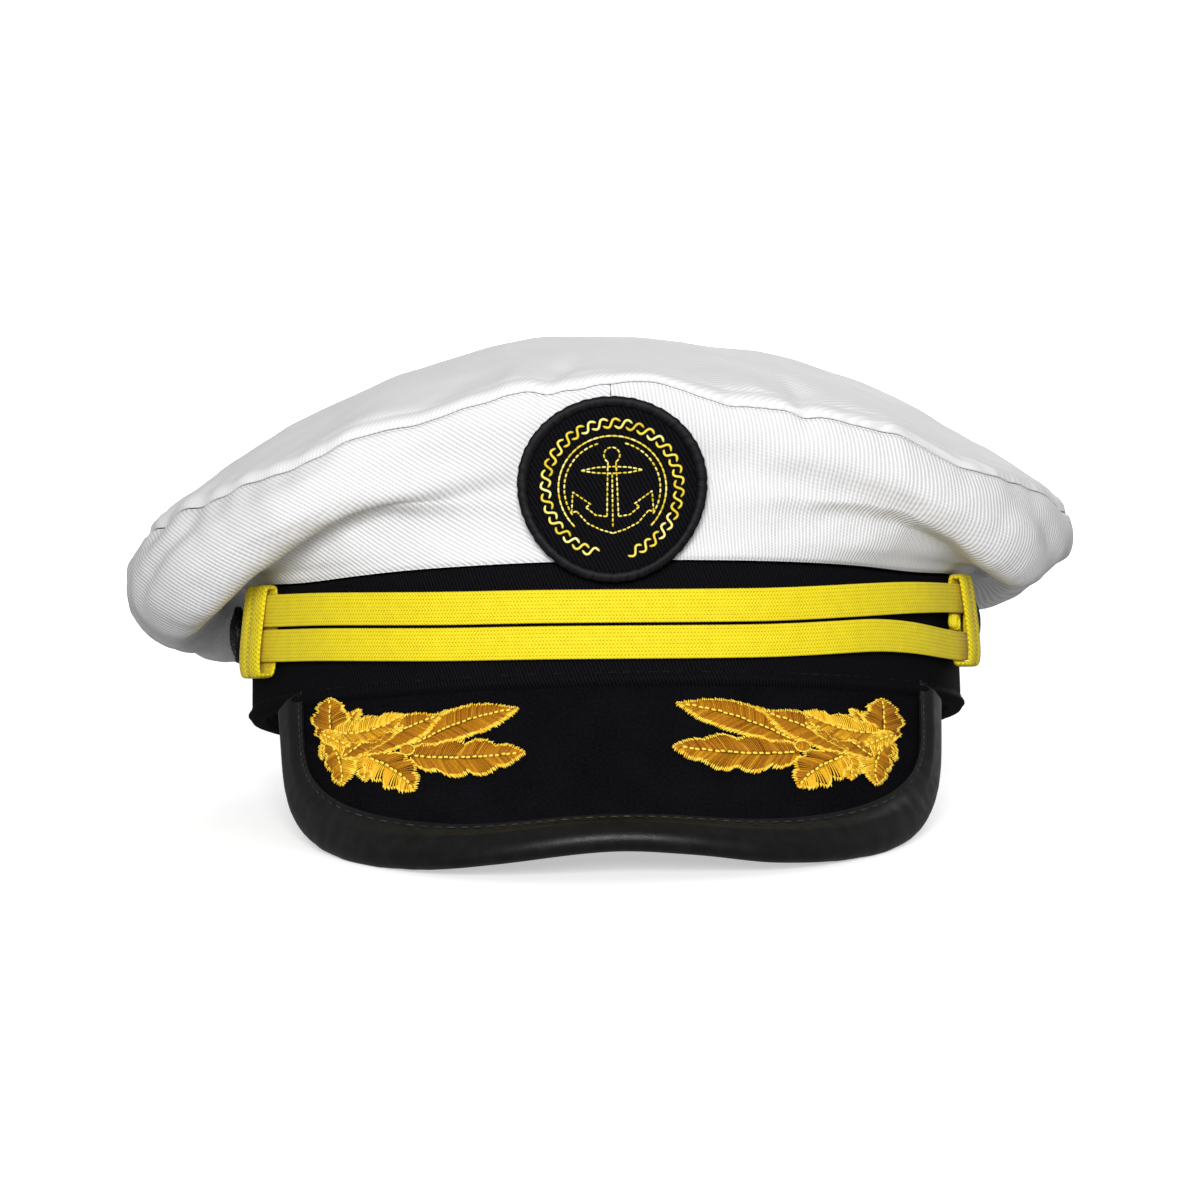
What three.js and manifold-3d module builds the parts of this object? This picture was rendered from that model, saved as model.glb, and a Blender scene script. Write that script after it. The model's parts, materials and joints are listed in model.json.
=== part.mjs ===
// Captain's cap with a wide soft crown, a black band, a stiff peak and a double braid strap.
//
// Everything is drawn in the head frame: the band's lower edge lies in z = 0, the middle of the
// band's front half circle is the origin and the peak points to -Y. Two groups place that frame:
// the strap group tilts the braids about the line through both buttons, and the cap group tips the
// whole cap back until it stands on the peak's two corners and the back of the band.
import * as THREE from 'three';
import Module from 'manifold-3d';
import { mergeVertices } from 'three/addons/utils/BufferGeometryUtils.js';

const wasm = await Module();
wasm.setup();

// ---------------------------------------------------------------- driving dimensions, mm and rad
const DEG = Math.PI / 180;
const GAP = 0.3; // clearance between touching pieces
const TURN_STEPS = 36; // facets round the head; nested pieces share them
const CLOTH = 1.2; // crown twill with its interlining

const BAND_RADIUS = 93.5; // outside of the band: its front half is a half circle
const BAND_BACK = 108; // outside of the band at the centre back, a half ellipse
const BAND_HEIGHT_FRONT = 30;
const BAND_HEIGHT_SIDE = 34;

// Layers of the band, measured outwards from its outer face
const BAND_LAYER = [-1, 0];
const STIFFENER_LAYER = [-2.2, -1.3];
const SEAM_TAPE_LAYER = [-3.1, -2.6];
const WASHER_LAYER = [-3.8, -3.25];
const SWEATBAND_LAYER = [-5, -4.1];
const LABEL_LAYER = [-5.8, -5.3];
const OPEN_BACK = 30 * DEG; // half angle that stiffener and sweatband leave free at the back

// Back opening: an arch in the band, closed by a snap strap
const ARCH_HALF = 22 * DEG;
const ARCH_HEIGHT = 25;
const ARCH_POWER = 6;
const ARCH_TAPE_WIDTH = 4;
const ARCH_TAPE_WALL = 0.6;
const SNAP_Z = [2, 15];
const SNAP_END = 27 * DEG; // sewn ends of the snap strap
const SNAP_FOLD = 19.6 * DEG; // where the outer half bends away
const SNAP_PITCH = 3.5 * DEG;
const SNAP_COUNT = 7; // studs, and holes; the middle five studs are pressed in
const SNAP_OVERLAP = 2.5 * SNAP_PITCH; // each half runs this far past the centre back
const SNAP_OUTER_LAYER = [-3.3, -2.3];
const SNAP_INNER_LAYER = [-4.6, -3.6];
const STUD_TIP = -1.5;
const STUD_RADIUS = 1.5;
const STUD_HOLE_RADIUS = 2.2;

// Crown side profiles, [distance outside the band, height], from the band up to the edge seam.
// The soft crown hangs a little lower on the left than on the right.
const FRONT_PROFILE = [
  [0.6, 30.4], [1.3, 34], [2.7, 41], [4.4, 49], [6.2, 58], [7.9, 67], [8.6, 73],
];
const LEFT_PROFILE = [
  [0.6, 34.4], [4.6, 36], [9, 28], [19.5, 19.8], [29.5, 26.5], [31.5, 38.5], [26.5, 48.7],
];
const RIGHT_PROFILE = [
  [0.6, 34.4], [4.6, 36.8], [9.5, 34], [19, 31.5], [27.5, 35.5], [30.3, 43], [29, 49.5],
];
const BACK_PROFILE = [
  [0.6, 34.4], [4.4, 35.5], [10, 30], [20, 26], [29, 31], [32, 42], [29, 52],
];
// Angles between which each profile point turns from front to side: the lower ones turn late
const PROFILE_TURN = [[50, 92], [50, 92], [25, 88], [8, 70], [5, 75], [0, 78], [0, 78]];
const PROFILE_STEPS = 10;
const APEX = new THREE.Vector3(0, -14, 96);
const DOME_POWER = 2.08;
const DOME_ROUND = 0.9;
const LINING_LAYER = [-2.2, -1.6];
const LINING_DROP = 9; // lining top edge below the crown's edge seam

// Peak: a ruled sheet that leaves the band's lower edge, with a rounded square outline
const PEAK_HALF_ANGLE = 65.2 * DEG;
const PEAK_LENGTH = 53.2;
const PEAK_POWER = 4;
const PEAK_CORNER = 0.045; // extra length at the two corners
const PEAK_SLOPE = 50.5 * DEG; // below the head plane at the centre
const PEAK_SIDE_SLOPE = 15 * DEG; // added at the ends
const PEAK_CLOSING = 0.05; // the rays turn in towards the middle
const PEAK_ROOT = [-2, -1.7]; // inner edge of the sheet's middle: outside the band, height
const BOARD_HALF = 0.8;
const COVER = 0.6;
const BINDING_WALL = 0.6;
const BINDING_HALF = BOARD_HALF + COVER + 3 * GAP + BINDING_WALL;
const BINDING_WIDTH = 7;

// Oak leaf sprays on the peak
const SPRAY_TIPS = { left: 21, right: 16 }; // inner ends, from the middle of the peak
const SPRAY_OUTER_X = 73.5;
const SPRAY_MIDDLE = 18.5; // distance down the peak
const SPRAY_HALF_WIDTH = 15;
const SPRAY_LOBES = 5;
const EMBROIDERY = 0.9;

// Round patch on the front
const PATCH_RADIUS = 22.8;
const PATCH_Z = 47.4;
const PATCH_FOOT = 1.7; // clearance line of the patch outside the band, at its lowest point
const PATCH_LEAN = 0.165; // forward lean per height
const PATCH_FLARE = 0.026; // its upper sides follow the crown outwards, mm per degree squared
const PATCH_BASE = 0.8;
const BORDER_WIDTH = 2.6;
const BORDER_HEIGHT = 2;
const WREATH = [15, 17.3];
const WREATH_OPENING = 18 * DEG;
const INNER_RING = [12.6, 13.3];

// Chin strap: two flat braids between two buttons, in a plane through the buttons
const BUTTON_Y = -6;
const BUTTON_Z = 22.2;
const STRAP_SLOPE = 5 * DEG; // nose down
const STRAP_LAYER = [2.6, 3.7];
const BRAID_WIDTH = 8.3;
const BRAID_SPACING = 9;
const BRAID_HALF_ANGLE = 75 * DEG;
const TAB_THICKNESS = 0.9;
const TAB_OFF = 0.5; // inner face of the end tab at the button
const KEEPER_ANGLE = { left: 68 * DEG, right: 72 * DEG };
const KEEPER_WIDTH = 10;
const KEEPER_LAYER = [1.2, 7.2];
const KEEPER_WALL = 1.1;
const KEEPER_SPAN = [-12, 9.9]; // it hangs a little low on the braids

const BUTTON_RADIUS = 7.5;
const BUTTON_THICKNESS = 3.8;
const BUTTON_OFF = 1.8;
const SHANK_RADIUS = 1.5;
const SHANK_HOLE_RADIUS = 2;
const WASHER_RADIUS = 3.5;

// ---------------------------------------------------------------- materials
const material = (color, roughness, metalness = 0) =>
  new THREE.MeshStandardMaterial({ color, roughness, metalness });
const MATERIALS = {
  whiteTwill: material(0xe9e9ea, 0.9),
  blackTwill: material(0x111114, 0.85),
  blackFelt: material(0x0c0c10, 0.95),
  leatherette: material(0x1d1d1f, 0.45),
  yellowBraid: material(0xe6d822, 0.6),
  goldThread: material(0xd9a02a, 0.45),
  wreathThread: material(0xd8cc40, 0.5),
  blackThread: material(0x151518, 0.6),
  lining: material(0x2a2a2e, 0.8),
  buckram: material(0xcfc9b8, 0.9),
  board: material(0x2f2f32, 0.6),
  plastic: material(0x18181a, 0.35),
  steel: material(0xb8b8b8, 0.35, 1),
  label: material(0xf2f2f0, 0.8),
};

// ---------------------------------------------------------------- geometry helpers
const clamp01 = (x) => Math.min(1, Math.max(0, x));
const smooth = (from, to, x) => {
  const u = clamp01((x - from) / (to - from));
  return u * u * (3 - 2 * u);
};
const lerp = (from, to, u) => from + (to - from) * u;
const steps = (from, to, count) =>
  Array.from({ length: count + 1 }, (_, i) => lerp(from, to, i / count));
const turn = (count) => steps(-Math.PI, Math.PI, count).slice(0, -1);
const HEAD_TURN = turn(TURN_STEPS);
const facet = 2 * Math.PI / TURN_STEPS;

// Point at an angle from the front (positive towards +X), off mm outside the band's outer face
function onBand(angle, off, z) {
  const depth = Math.cos(angle) > 0 ? BAND_RADIUS : BAND_BACK;
  return new THREE.Vector3((BAND_RADIUS + off) * Math.sin(angle), -(depth + off) * Math.cos(angle), z);
}

// Triangles over one ring of points, in the ring's own order
function capFaces(ring) {
  const normal = new THREE.Vector3();
  const centre = new THREE.Vector3();
  ring.forEach((point) => centre.addScaledVector(point, 1 / ring.length));
  ring.forEach((point, i) => {
    const next = ring[(i + 1) % ring.length];
    normal.add(point.clone().sub(centre).cross(next.clone().sub(centre)));
  });
  normal.normalize();
  const across = ring[0].clone().sub(centre).projectOnPlane(normal).normalize();
  const up = normal.clone().cross(across);
  const flat = ring.map((point) => {
    const from = point.clone().sub(centre);
    return new THREE.Vector2(from.dot(across), from.dot(up));
  });
  return THREE.ShapeUtils.triangulateShape(flat, []).map(([a, b, c]) => {
    const area = flat[b].clone().sub(flat[a]).cross(flat[c].clone().sub(flat[a]));
    return area > 0 ? [a, b, c] : [a, c, b];
  });
}

// Geometry of a closed body, with its triangles turned to face outwards
function outward(points, faces) {
  const sixfold = ([a, b, c]) => points[a].dot(points[b].clone().cross(points[c]));
  const volume = faces.reduce((sum, face) => sum + sixfold(face), 0);
  const geometry = new THREE.BufferGeometry().setFromPoints(points);
  geometry.setIndex((volume > 0 ? faces : faces.map(([a, b, c]) => [a, c, b])).flat());
  geometry.computeVertexNormals();
  return geometry;
}

// Closed body through a row of rings with equally many points, with capped ends unless it closes
function loft(rings, closes = false) {
  const points = rings.flat();
  const count = rings[0].length;
  const faces = [];
  const spans = closes ? rings.length : rings.length - 1;
  for (let i = 0; i < spans; i += 1) {
    const here = i * count;
    const there = ((i + 1) % rings.length) * count;
    for (let j = 0; j < count; j += 1) {
      const k = (j + 1) % count;
      faces.push([here + j, here + k, there + k], [here + j, there + k, there + j]);
    }
  }
  if (!closes) {
    const last = (rings.length - 1) * count;
    capFaces(rings[0]).forEach(([a, b, c]) => faces.push([a, c, b]));
    capFaces(rings[rings.length - 1]).forEach(([a, b, c]) => faces.push([last + a, last + b, last + c]));
  }
  return outward(points, faces);
}

// Moves every vertex of a geometry to place(x, y, z)
function bend(geometry, place) {
  geometry.deleteAttribute('normal');
  geometry.deleteAttribute('uv');
  const merged = mergeVertices(geometry);
  const position = merged.getAttribute('position');
  const points = Array.from({ length: position.count }, (_, i) =>
    place(position.getX(i), position.getY(i), position.getZ(i)));
  const index = Array.from(merged.getIndex().array);
  const faces = Array.from({ length: index.length / 3 }, (_, i) => index.slice(3 * i, 3 * i + 3));
  return outward(points, faces);
}

function toSolid(geometry) {
  const bare = geometry.clone();
  bare.deleteAttribute('normal');
  bare.deleteAttribute('uv');
  const merged = mergeVertices(bare);
  const vertProperties = Float32Array.from(merged.getAttribute('position').array);
  const triVerts = Uint32Array.from(merged.getIndex().array);
  return new wasm.Manifold(new wasm.Mesh({ numProp: 3, vertProperties, triVerts }));
}

function fromSolid(solid) {
  const mesh = solid.getMesh();
  const geometry = new THREE.BufferGeometry();
  geometry.setAttribute('position', new THREE.BufferAttribute(mesh.vertProperties, 3));
  geometry.setIndex(new THREE.BufferAttribute(mesh.triVerts, 1));
  geometry.computeVertexNormals();
  return geometry;
}

const cut = (geometry, tools) =>
  fromSolid(tools.reduce((solid, tool) => solid.subtract(toSolid(tool)), toSolid(geometry)));
const join = (geometry, others) =>
  fromSolid(others.reduce((solid, other) => solid.add(toSolid(other)), toSolid(geometry)));

// Cylinder whose axis runs from one point to another
function rod(from, to, radius, sides = 12) {
  const axis = to.clone().sub(from);
  const geometry = new THREE.CylinderGeometry(radius, radius, axis.length(), sides);
  const upright = new THREE.Vector3(0, 1, 0);
  geometry.applyQuaternion(new THREE.Quaternion().setFromUnitVectors(upright, axis.clone().normalize()));
  const middle = from.clone().add(to).multiplyScalar(0.5);
  geometry.translate(middle.x, middle.y, middle.z);
  return geometry;
}

// Strip that follows the band between two angles, or all the way round: its layer is [inner, outer]
// and low(angle) and high(angle) are its edges
function bandStrip(angles, [inner, outer], low, high, closes = false) {
  const ring = (angle) => [
    onBand(angle, inner, low(angle)),
    onBand(angle, outer, low(angle)),
    onBand(angle, outer, high(angle)),
    onBand(angle, inner, high(angle)),
  ];
  return loft(angles.map(ring), closes);
}

// ---------------------------------------------------------------- crown
// How much of the front and the back profile an angle takes; the rest is the side profile
const frontShare = (angle, [from, to]) => 1 - smooth(from * DEG, to * DEG, Math.abs(angle));
const backShare = (angle) => Math.max(-Math.cos(angle), 0) ** 2;

function crownProfile(angle) {
  const side = angle > 0 ? RIGHT_PROFILE : LEFT_PROFILE;
  const points = FRONT_PROFILE.map((front, i) => {
    const atFront = frontShare(angle, PROFILE_TURN[i]);
    const atBack = backShare(angle);
    const atSide = 1 - atFront - atBack;
    const mix = (k) => front[k] * atFront + BACK_PROFILE[i][k] * atBack + side[i][k] * atSide;
    return new THREE.Vector2(mix(0), mix(1));
  });
  return new THREE.SplineCurve(points);
}

// Cross-section of a layer of the crown's side: from one stretch of the profile to another, between
// two depths inside its outer face
function crownRing(angle, [from, to], [outer, inner], count) {
  const profile = crownProfile(angle);
  const at = (u, depth) => {
    const point = profile.getPoint(u);
    const tangent = profile.getTangent(u);
    return onBand(angle, point.x - tangent.y * depth, point.y + tangent.x * depth);
  };
  const stretch = steps(from, to, count);
  return [...stretch.map((u) => at(u, outer)), ...stretch.reverse().map((u) => at(u, inner))];
}

function crownQuarter(from, to) {
  const seam = GAP / 2 / BAND_RADIUS;
  const inner = steps(from, to, (to - from) / facet).slice(1, -1);
  const ring = (angle) => crownRing(angle, [0, 1], [0, CLOTH], PROFILE_STEPS);
  return loft([from + seam, ...inner, to - seam].map(ring));
}

const rim = (angle) => crownProfile(angle).getPoint(1);

// Point of a dome over the crown's edge: reach 1 is its rim and 0 its apex
function domePoint(angle, reach, { off, lift, apex }) {
  const edge = rim(angle);
  const foot = onBand(angle, edge.x + off, edge.y + lift);
  const rise = (1 - reach ** DOME_POWER) ** DOME_ROUND;
  return new THREE.Vector3(
    lerp(apex.x, foot.x, reach),
    lerp(apex.y, foot.y, reach),
    lerp(foot.z, apex.z, rise),
  );
}

// Domed sheet: loops run out along its underside and back in over its top
function dome(top, thickness) {
  const reaches = [0.08, 0.35, 0.62, 0.84, 0.95, 1];
  const loop = (reach, drop) => HEAD_TURN.map((angle) => {
    const point = domePoint(angle, reach, top);
    point.z -= drop;
    return point;
  });
  return loft([
    ...reaches.map((reach) => loop(reach, thickness)),
    ...reaches.slice().reverse().map((reach) => loop(reach, 0)),
  ]);
}

const topPanel = () => dome({ off: 0, lift: GAP + CLOTH, apex: APEX }, CLOTH);

const SEAM_TAPE_DEPTHS = [CLOTH + GAP, CLOTH + GAP + 0.6];
const edgeSeamTape = () =>
  loft(HEAD_TURN.map((angle) => crownRing(angle, [0.94, 0.99], SEAM_TAPE_DEPTHS, 1)), true);

const frontStay = () => {
  const stretch = [3 / PROFILE_STEPS, 9 / PROFILE_STEPS];
  const depths = [CLOTH + 2 * GAP, CLOTH + 2 * GAP + 1];
  const angles = steps(-2 * facet, 2 * facet, 4);
  return loft(angles.map((angle) => crownRing(angle, stretch, depths, PROFILE_STEPS - 4)));
};

const liningTopEdge = (angle) => rim(angle).y - LINING_DROP;

const liningSide = () =>
  bandStrip(HEAD_TURN, LINING_LAYER, (angle) => bandTop(angle) + 1, liningTopEdge, true);

function liningTop() {
  const reaches = [0.1, 0.5, 0.85, 1];
  const loop = (reach, drop) => HEAD_TURN.map((angle) => {
    const foot = onBand(angle, LINING_LAYER[1], liningTopEdge(angle) + GAP + 0.6);
    const rise = 1 - reach ** 2;
    return new THREE.Vector3(
      lerp(APEX.x, foot.x, reach),
      lerp(APEX.y, foot.y, reach),
      lerp(foot.z, APEX.z - 9, rise) - drop,
    );
  });
  return loft([
    ...reaches.map((reach) => loop(reach, 0.6)),
    ...reaches.slice().reverse().map((reach) => loop(reach, 0)),
  ]);
}

// ---------------------------------------------------------------- band
const bandTop = (angle) =>
  lerp(BAND_HEIGHT_SIDE, BAND_HEIGHT_FRONT, frontShare(angle, PROFILE_TURN[0]));

const fromBack = (angle) => Math.PI - Math.abs(angle);

// Lower edge of the band: straight, with an arch over the back opening
function bandBottom(angle) {
  const reach = fromBack(angle) / ARCH_HALF;
  return reach < 1 ? ARCH_HEIGHT * (1 - reach ** ARCH_POWER) ** (1 / ARCH_POWER) : 0;
}

const buttonPoint = (side, off) => new THREE.Vector3(side * (BAND_RADIUS + off), BUTTON_Y, BUTTON_Z);

const shankHoles = () =>
  [-1, 1].map((side) => rod(buttonPoint(side, -6), buttonPoint(side, 4), SHANK_HOLE_RADIUS));

// Facet angles of the band, closer together over the arch
function bandAngles() {
  const open = HEAD_TURN.filter((angle) => fromBack(angle) > ARCH_HALF);
  const archSide = [0, 0.05, 0.12, 0.22, 0.4, 0.7].map((inwards) => ARCH_HALF * (1 - inwards));
  const right = archSide.map((place) => Math.PI - place);
  const left = archSide.slice().reverse().map((place) => place - Math.PI);
  return [...open, ...right, Math.PI, ...left];
}

const hatBand = () => cut(bandStrip(bandAngles(), BAND_LAYER, bandBottom, bandTop, true), shankHoles());

const openStrip = (layer, low, drop) => {
  const angles = steps(-Math.PI + OPEN_BACK, Math.PI - OPEN_BACK, TURN_STEPS - 2 * OPEN_BACK / facet);
  return bandStrip(angles, layer, () => low, (angle) => bandTop(angle) - drop);
};

const stiffener = () => cut(openStrip(STIFFENER_LAYER, 1, 1), shankHoles());
const sweatband = () => openStrip(SWEATBAND_LAYER, 0.6, 4.5);
const overTop = (lift) => (angle) => bandTop(angle) + lift;
const bandSeamTape = () => bandStrip(HEAD_TURN, SEAM_TAPE_LAYER, overTop(-3), overTop(3), true);
const blankLabel = () =>
  bandStrip(steps(12 * facet, 13 * facet, 1), LABEL_LAYER, () => 7, () => 21);

// ---------------------------------------------------------------- back opening
// Tape folded over the arch's edge: a thick strip along the arch, hollowed by the band itself
function archTape() {
  const layer = [BAND_LAYER[0] - GAP - ARCH_TAPE_WALL, BAND_LAYER[1] + GAP + ARCH_TAPE_WALL];
  const edge = (turned) => {
    const along = Math.cos(turned);
    const reach = Math.sign(along) * Math.abs(along) ** (2 / ARCH_POWER);
    const height = ARCH_HEIGHT * Math.sin(turned) ** (2 / ARCH_POWER);
    return new THREE.Vector2(reach * ARCH_HALF * BAND_BACK, height);
  };
  const ring = (turned) => {
    const here = edge(turned);
    const along = edge(turned + 1e-3).sub(edge(turned - 1e-3)).normalize();
    const at = (off, away) => {
      const arc = here.x + along.y * away;
      return onBand(Math.PI - arc / BAND_BACK, off, here.y - along.x * away);
    };
    const [inner, outer] = layer;
    const inwards = -GAP - ARCH_TAPE_WALL;
    return [
      at(inner, inwards), at(outer, inwards),
      at(outer, ARCH_TAPE_WIDTH), at(inner, ARCH_TAPE_WIDTH),
    ];
  };
  const turns = [0.02, 0.12, 0.35, 0.7, 1.1, 1.4].flatMap((turned) => [turned, Math.PI - turned]);
  const strip = loft([...turns, Math.PI / 2].sort((a, b) => a - b).map(ring));
  const room = [BAND_LAYER[0] - GAP, BAND_LAYER[1] + GAP];
  return cut(strip, [bandStrip(bandAngles(), room, (angle) => bandBottom(angle) - GAP, bandTop, true)]);
}

// Snap strap halves: place is the angle from the centre back, positive towards +X
const atBack = (place) => Math.PI - place;
const snapStrip = (from, to, layer) => {
  const count = Math.ceil(Math.abs(to - from) / (5 * DEG));
  return bandStrip(steps(from, to, count).map(atBack), layer, () => SNAP_Z[0], () => SNAP_Z[1]);
};
const snapMiddle = (SNAP_Z[0] + SNAP_Z[1]) / 2;
const snapRod = (place, from, to, radius) =>
  rod(onBand(atBack(place), from, snapMiddle), onBand(atBack(place), to, snapMiddle), radius, 10);
const snapPlaces = (side) => Array.from({ length: SNAP_COUNT }, (_, i) => side * (2 - i) * SNAP_PITCH);

const snapTab = () => snapStrip(-SNAP_FOLD - 0.4 * DEG, -SNAP_END, SNAP_OUTER_LAYER);
const snapHoleStrap = () => {
  const [inner, outer] = SNAP_OUTER_LAYER;
  const holes = snapPlaces(1).map((place) => snapRod(place, inner - 1, outer + 1, STUD_HOLE_RADIUS));
  return cut(snapStrip(SNAP_OVERLAP, -SNAP_FOLD, SNAP_OUTER_LAYER), holes);
};
const snapStudStrap = () => {
  const root = SNAP_INNER_LAYER[0] + 0.5;
  const studs = snapPlaces(-1).map((place) => snapRod(place, root, STUD_TIP, STUD_RADIUS));
  return join(snapStrip(-SNAP_OVERLAP, SNAP_END, SNAP_INNER_LAYER), studs);
};

// ---------------------------------------------------------------- peak
// Middle sheet of the peak: across runs from -1 to 1 over its width, down is the distance from the
// band in mm and height is measured along the sheet's normal
function peakSheet(across, down) {
  const angle = Math.asin(across * Math.sin(PEAK_HALF_ANGLE));
  const slope = PEAK_SLOPE + PEAK_SIDE_SLOPE * (angle / PEAK_HALF_ANGLE) ** 2;
  const root = onBand(angle, PEAK_ROOT[0], PEAK_ROOT[1]);
  const ray = new THREE.Vector3(-PEAK_CLOSING * across, -Math.cos(slope), -Math.sin(slope)).normalize();
  return root.addScaledVector(ray, down);
}

function peakPoint(across, down, height) {
  const small = 1e-3;
  const sideways = peakSheet(across + small, down).sub(peakSheet(across - small, down));
  const downwards = peakSheet(across, down + small).sub(peakSheet(across, down - small));
  const normal = downwards.cross(sideways).normalize();
  return peakSheet(across, down).addScaledVector(normal, height);
}

const peakReach = (across) => PEAK_LENGTH * (1 + PEAK_CORNER * Math.sin(Math.PI * across) ** 2);
const PEAK_HALF_WIDTH = BAND_RADIUS * Math.sin(PEAK_HALF_ANGLE);

// One layer of the peak between two heights, inset from the outline
function peakLayer([low, high], inset) {
  const narrowed = 1 - inset / PEAK_HALF_WIDTH;
  const ring = (u) => {
    const share = 0.985 * Math.sin(u * Math.PI / 2);
    const across = narrowed * share;
    const length = (peakReach(across) - inset) * (1 - Math.abs(share) ** PEAK_POWER) ** (1 / PEAK_POWER);
    const downs = steps(0, length, 4);
    return [
      ...downs.map((down) => peakPoint(across, down, high)),
      ...downs.slice().reverse().map((down) => peakPoint(across, down, low)),
    ];
  };
  return loft(steps(-1, 1, 22).map(ring));
}

const coverLayer = [BOARD_HALF + GAP, BOARD_HALF + GAP + COVER];
const SHEET_INSET = BINDING_WALL + 3 * GAP;
const peakBoard = () => peakLayer([-BOARD_HALF, BOARD_HALF], SHEET_INSET);
const peakTopCover = () => peakLayer(coverLayer, SHEET_INSET);
const peakUnderCover = () => peakLayer([-coverLayer[1], -coverLayer[0]], SHEET_INSET);

// Binding folded over the peak's edge: a channel section carried along the outline
function peakBinding() {
  const outer = BINDING_HALF;
  const inner = BINDING_HALF - BINDING_WALL;
  const section = [
    [BINDING_WIDTH, outer], [0.7, outer], [0.2, outer - 0.3], [0, outer - 0.9],
    [0, 0.9 - outer], [0.2, 0.3 - outer], [0.7, -outer], [BINDING_WIDTH, -outer],
    [BINDING_WIDTH, -inner], [BINDING_WALL, -inner], [BINDING_WALL, inner], [BINDING_WIDTH, inner],
  ];
  const outline = (turned) => {
    const [cos, sin] = [Math.cos(turned), Math.sin(turned)];
    const radius = (Math.abs(cos) ** PEAK_POWER + sin ** PEAK_POWER) ** (-1 / PEAK_POWER);
    return [radius * cos, peakReach(radius * cos) * radius * sin];
  };
  const ring = (turned) => {
    const [across, down] = outline(turned);
    const here = peakPoint(across, down, 0);
    const before = peakPoint(...outline(turned - 1e-4), 0);
    const after = peakPoint(...outline(turned + 1e-4), 0);
    const along = after.sub(before).normalize();
    const normal = peakPoint(across, down, 1).sub(here);
    const inwards = along.cross(normal).normalize();
    return section.map(([width, height]) =>
      here.clone().addScaledVector(inwards, width).addScaledVector(normal, height));
  };
  return loft(steps(0.01, Math.PI - 0.01, 30).map(ring));
}

// Embroidered spray of oak leaves: a lobed patch with two points towards the middle of the peak
function leafSpray(side, tip) {
  const from = coverLayer[1] + GAP;
  const ring = (u) => {
    const x = lerp(tip, SPRAY_OUTER_X, u);
    const swell = Math.sin(Math.PI * (0.08 + 0.84 * u)) ** 0.6;
    const lobe = 1 + 0.1 * Math.cos(2 * Math.PI * SPRAY_LOBES * u);
    const half = SPRAY_HALF_WIDTH * swell * lobe;
    const downs = steps(SPRAY_MIDDLE - half, SPRAY_MIDDLE + half, 4);
    const across = side * x / PEAK_HALF_WIDTH;
    return [
      ...downs.map((down) => peakPoint(across, down, from + EMBROIDERY)),
      ...downs.slice().reverse().map((down) => peakPoint(across, down, from)),
    ];
  };
  return loft(steps(0, 1, 20).map(ring));
}

// ---------------------------------------------------------------- round patch
// Point of the patch: right, up and out from its centre, wrapped round the crown's front
function patchPoint(right, up, out) {
  const angle = right / (BAND_RADIUS + PATCH_FOOT + PATCH_LEAN * PATCH_RADIUS);
  const raised = (up + PATCH_RADIUS) / (2 * PATCH_RADIUS);
  const flare = PATCH_FLARE * (angle / DEG) ** 2 * raised;
  return onBand(angle, PATCH_FOOT + PATCH_LEAN * (up + PATCH_RADIUS) + flare + out, PATCH_Z + up);
}

const patchPolar = (angle, radius, out) =>
  patchPoint(radius * Math.sin(angle), radius * Math.cos(angle), out);

function patchDisc(radius, [low, high]) {
  const reaches = [0.12, 0.55, 1].map((share) => share * radius);
  const loop = (reach, out) => turn(24).map((angle) => patchPolar(angle, reach, out));
  return loft([
    ...reaches.map((reach) => loop(reach, low)),
    ...reaches.slice().reverse().map((reach) => loop(reach, high)),
  ]);
}

// Ring on the patch with a given section of [radius, out] points; it may stay open at the bottom
function patchRing(section, count, opening = 0) {
  const angles = opening ? steps(opening - Math.PI, Math.PI - opening, count) : turn(count);
  const ring = (angle) => section.map(([radius, out]) => patchPolar(angle, radius, out));
  return loft(angles.map(ring), !opening);
}

const patchBase = () => patchDisc(PATCH_RADIUS - 0.4, [0, PATCH_BASE]);
const patchFaceLayer = [PATCH_BASE + GAP, PATCH_BASE + GAP + 0.8];
const patchFace = () => patchDisc(PATCH_RADIUS - BORDER_WIDTH - GAP, patchFaceLayer);
const threadFoot = patchFaceLayer[1] + GAP;

function patchBorder() {
  const outer = PATCH_RADIUS;
  const inner = PATCH_RADIUS - BORDER_WIDTH;
  const foot = PATCH_BASE + GAP;
  const top = foot + BORDER_HEIGHT;
  const section = [
    [inner, foot], [outer, foot], [outer, top - 0.8],
    [outer - 0.7, top], [inner + 0.7, top], [inner, top - 0.8],
  ];
  return patchRing(section, 28);
}

const threadSection = ([inner, outer], height) => {
  const middle = (inner + outer) / 2;
  return [
    [inner, threadFoot], [outer, threadFoot], [outer, threadFoot + height * 0.6],
    [middle, threadFoot + height], [inner, threadFoot + height * 0.6],
  ];
};

const ropeWreath = () => patchRing(threadSection(WREATH, 1), 30, WREATH_OPENING);
const innerRing = () => patchRing(threadSection(INNER_RING, 0.7), 28);

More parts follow.
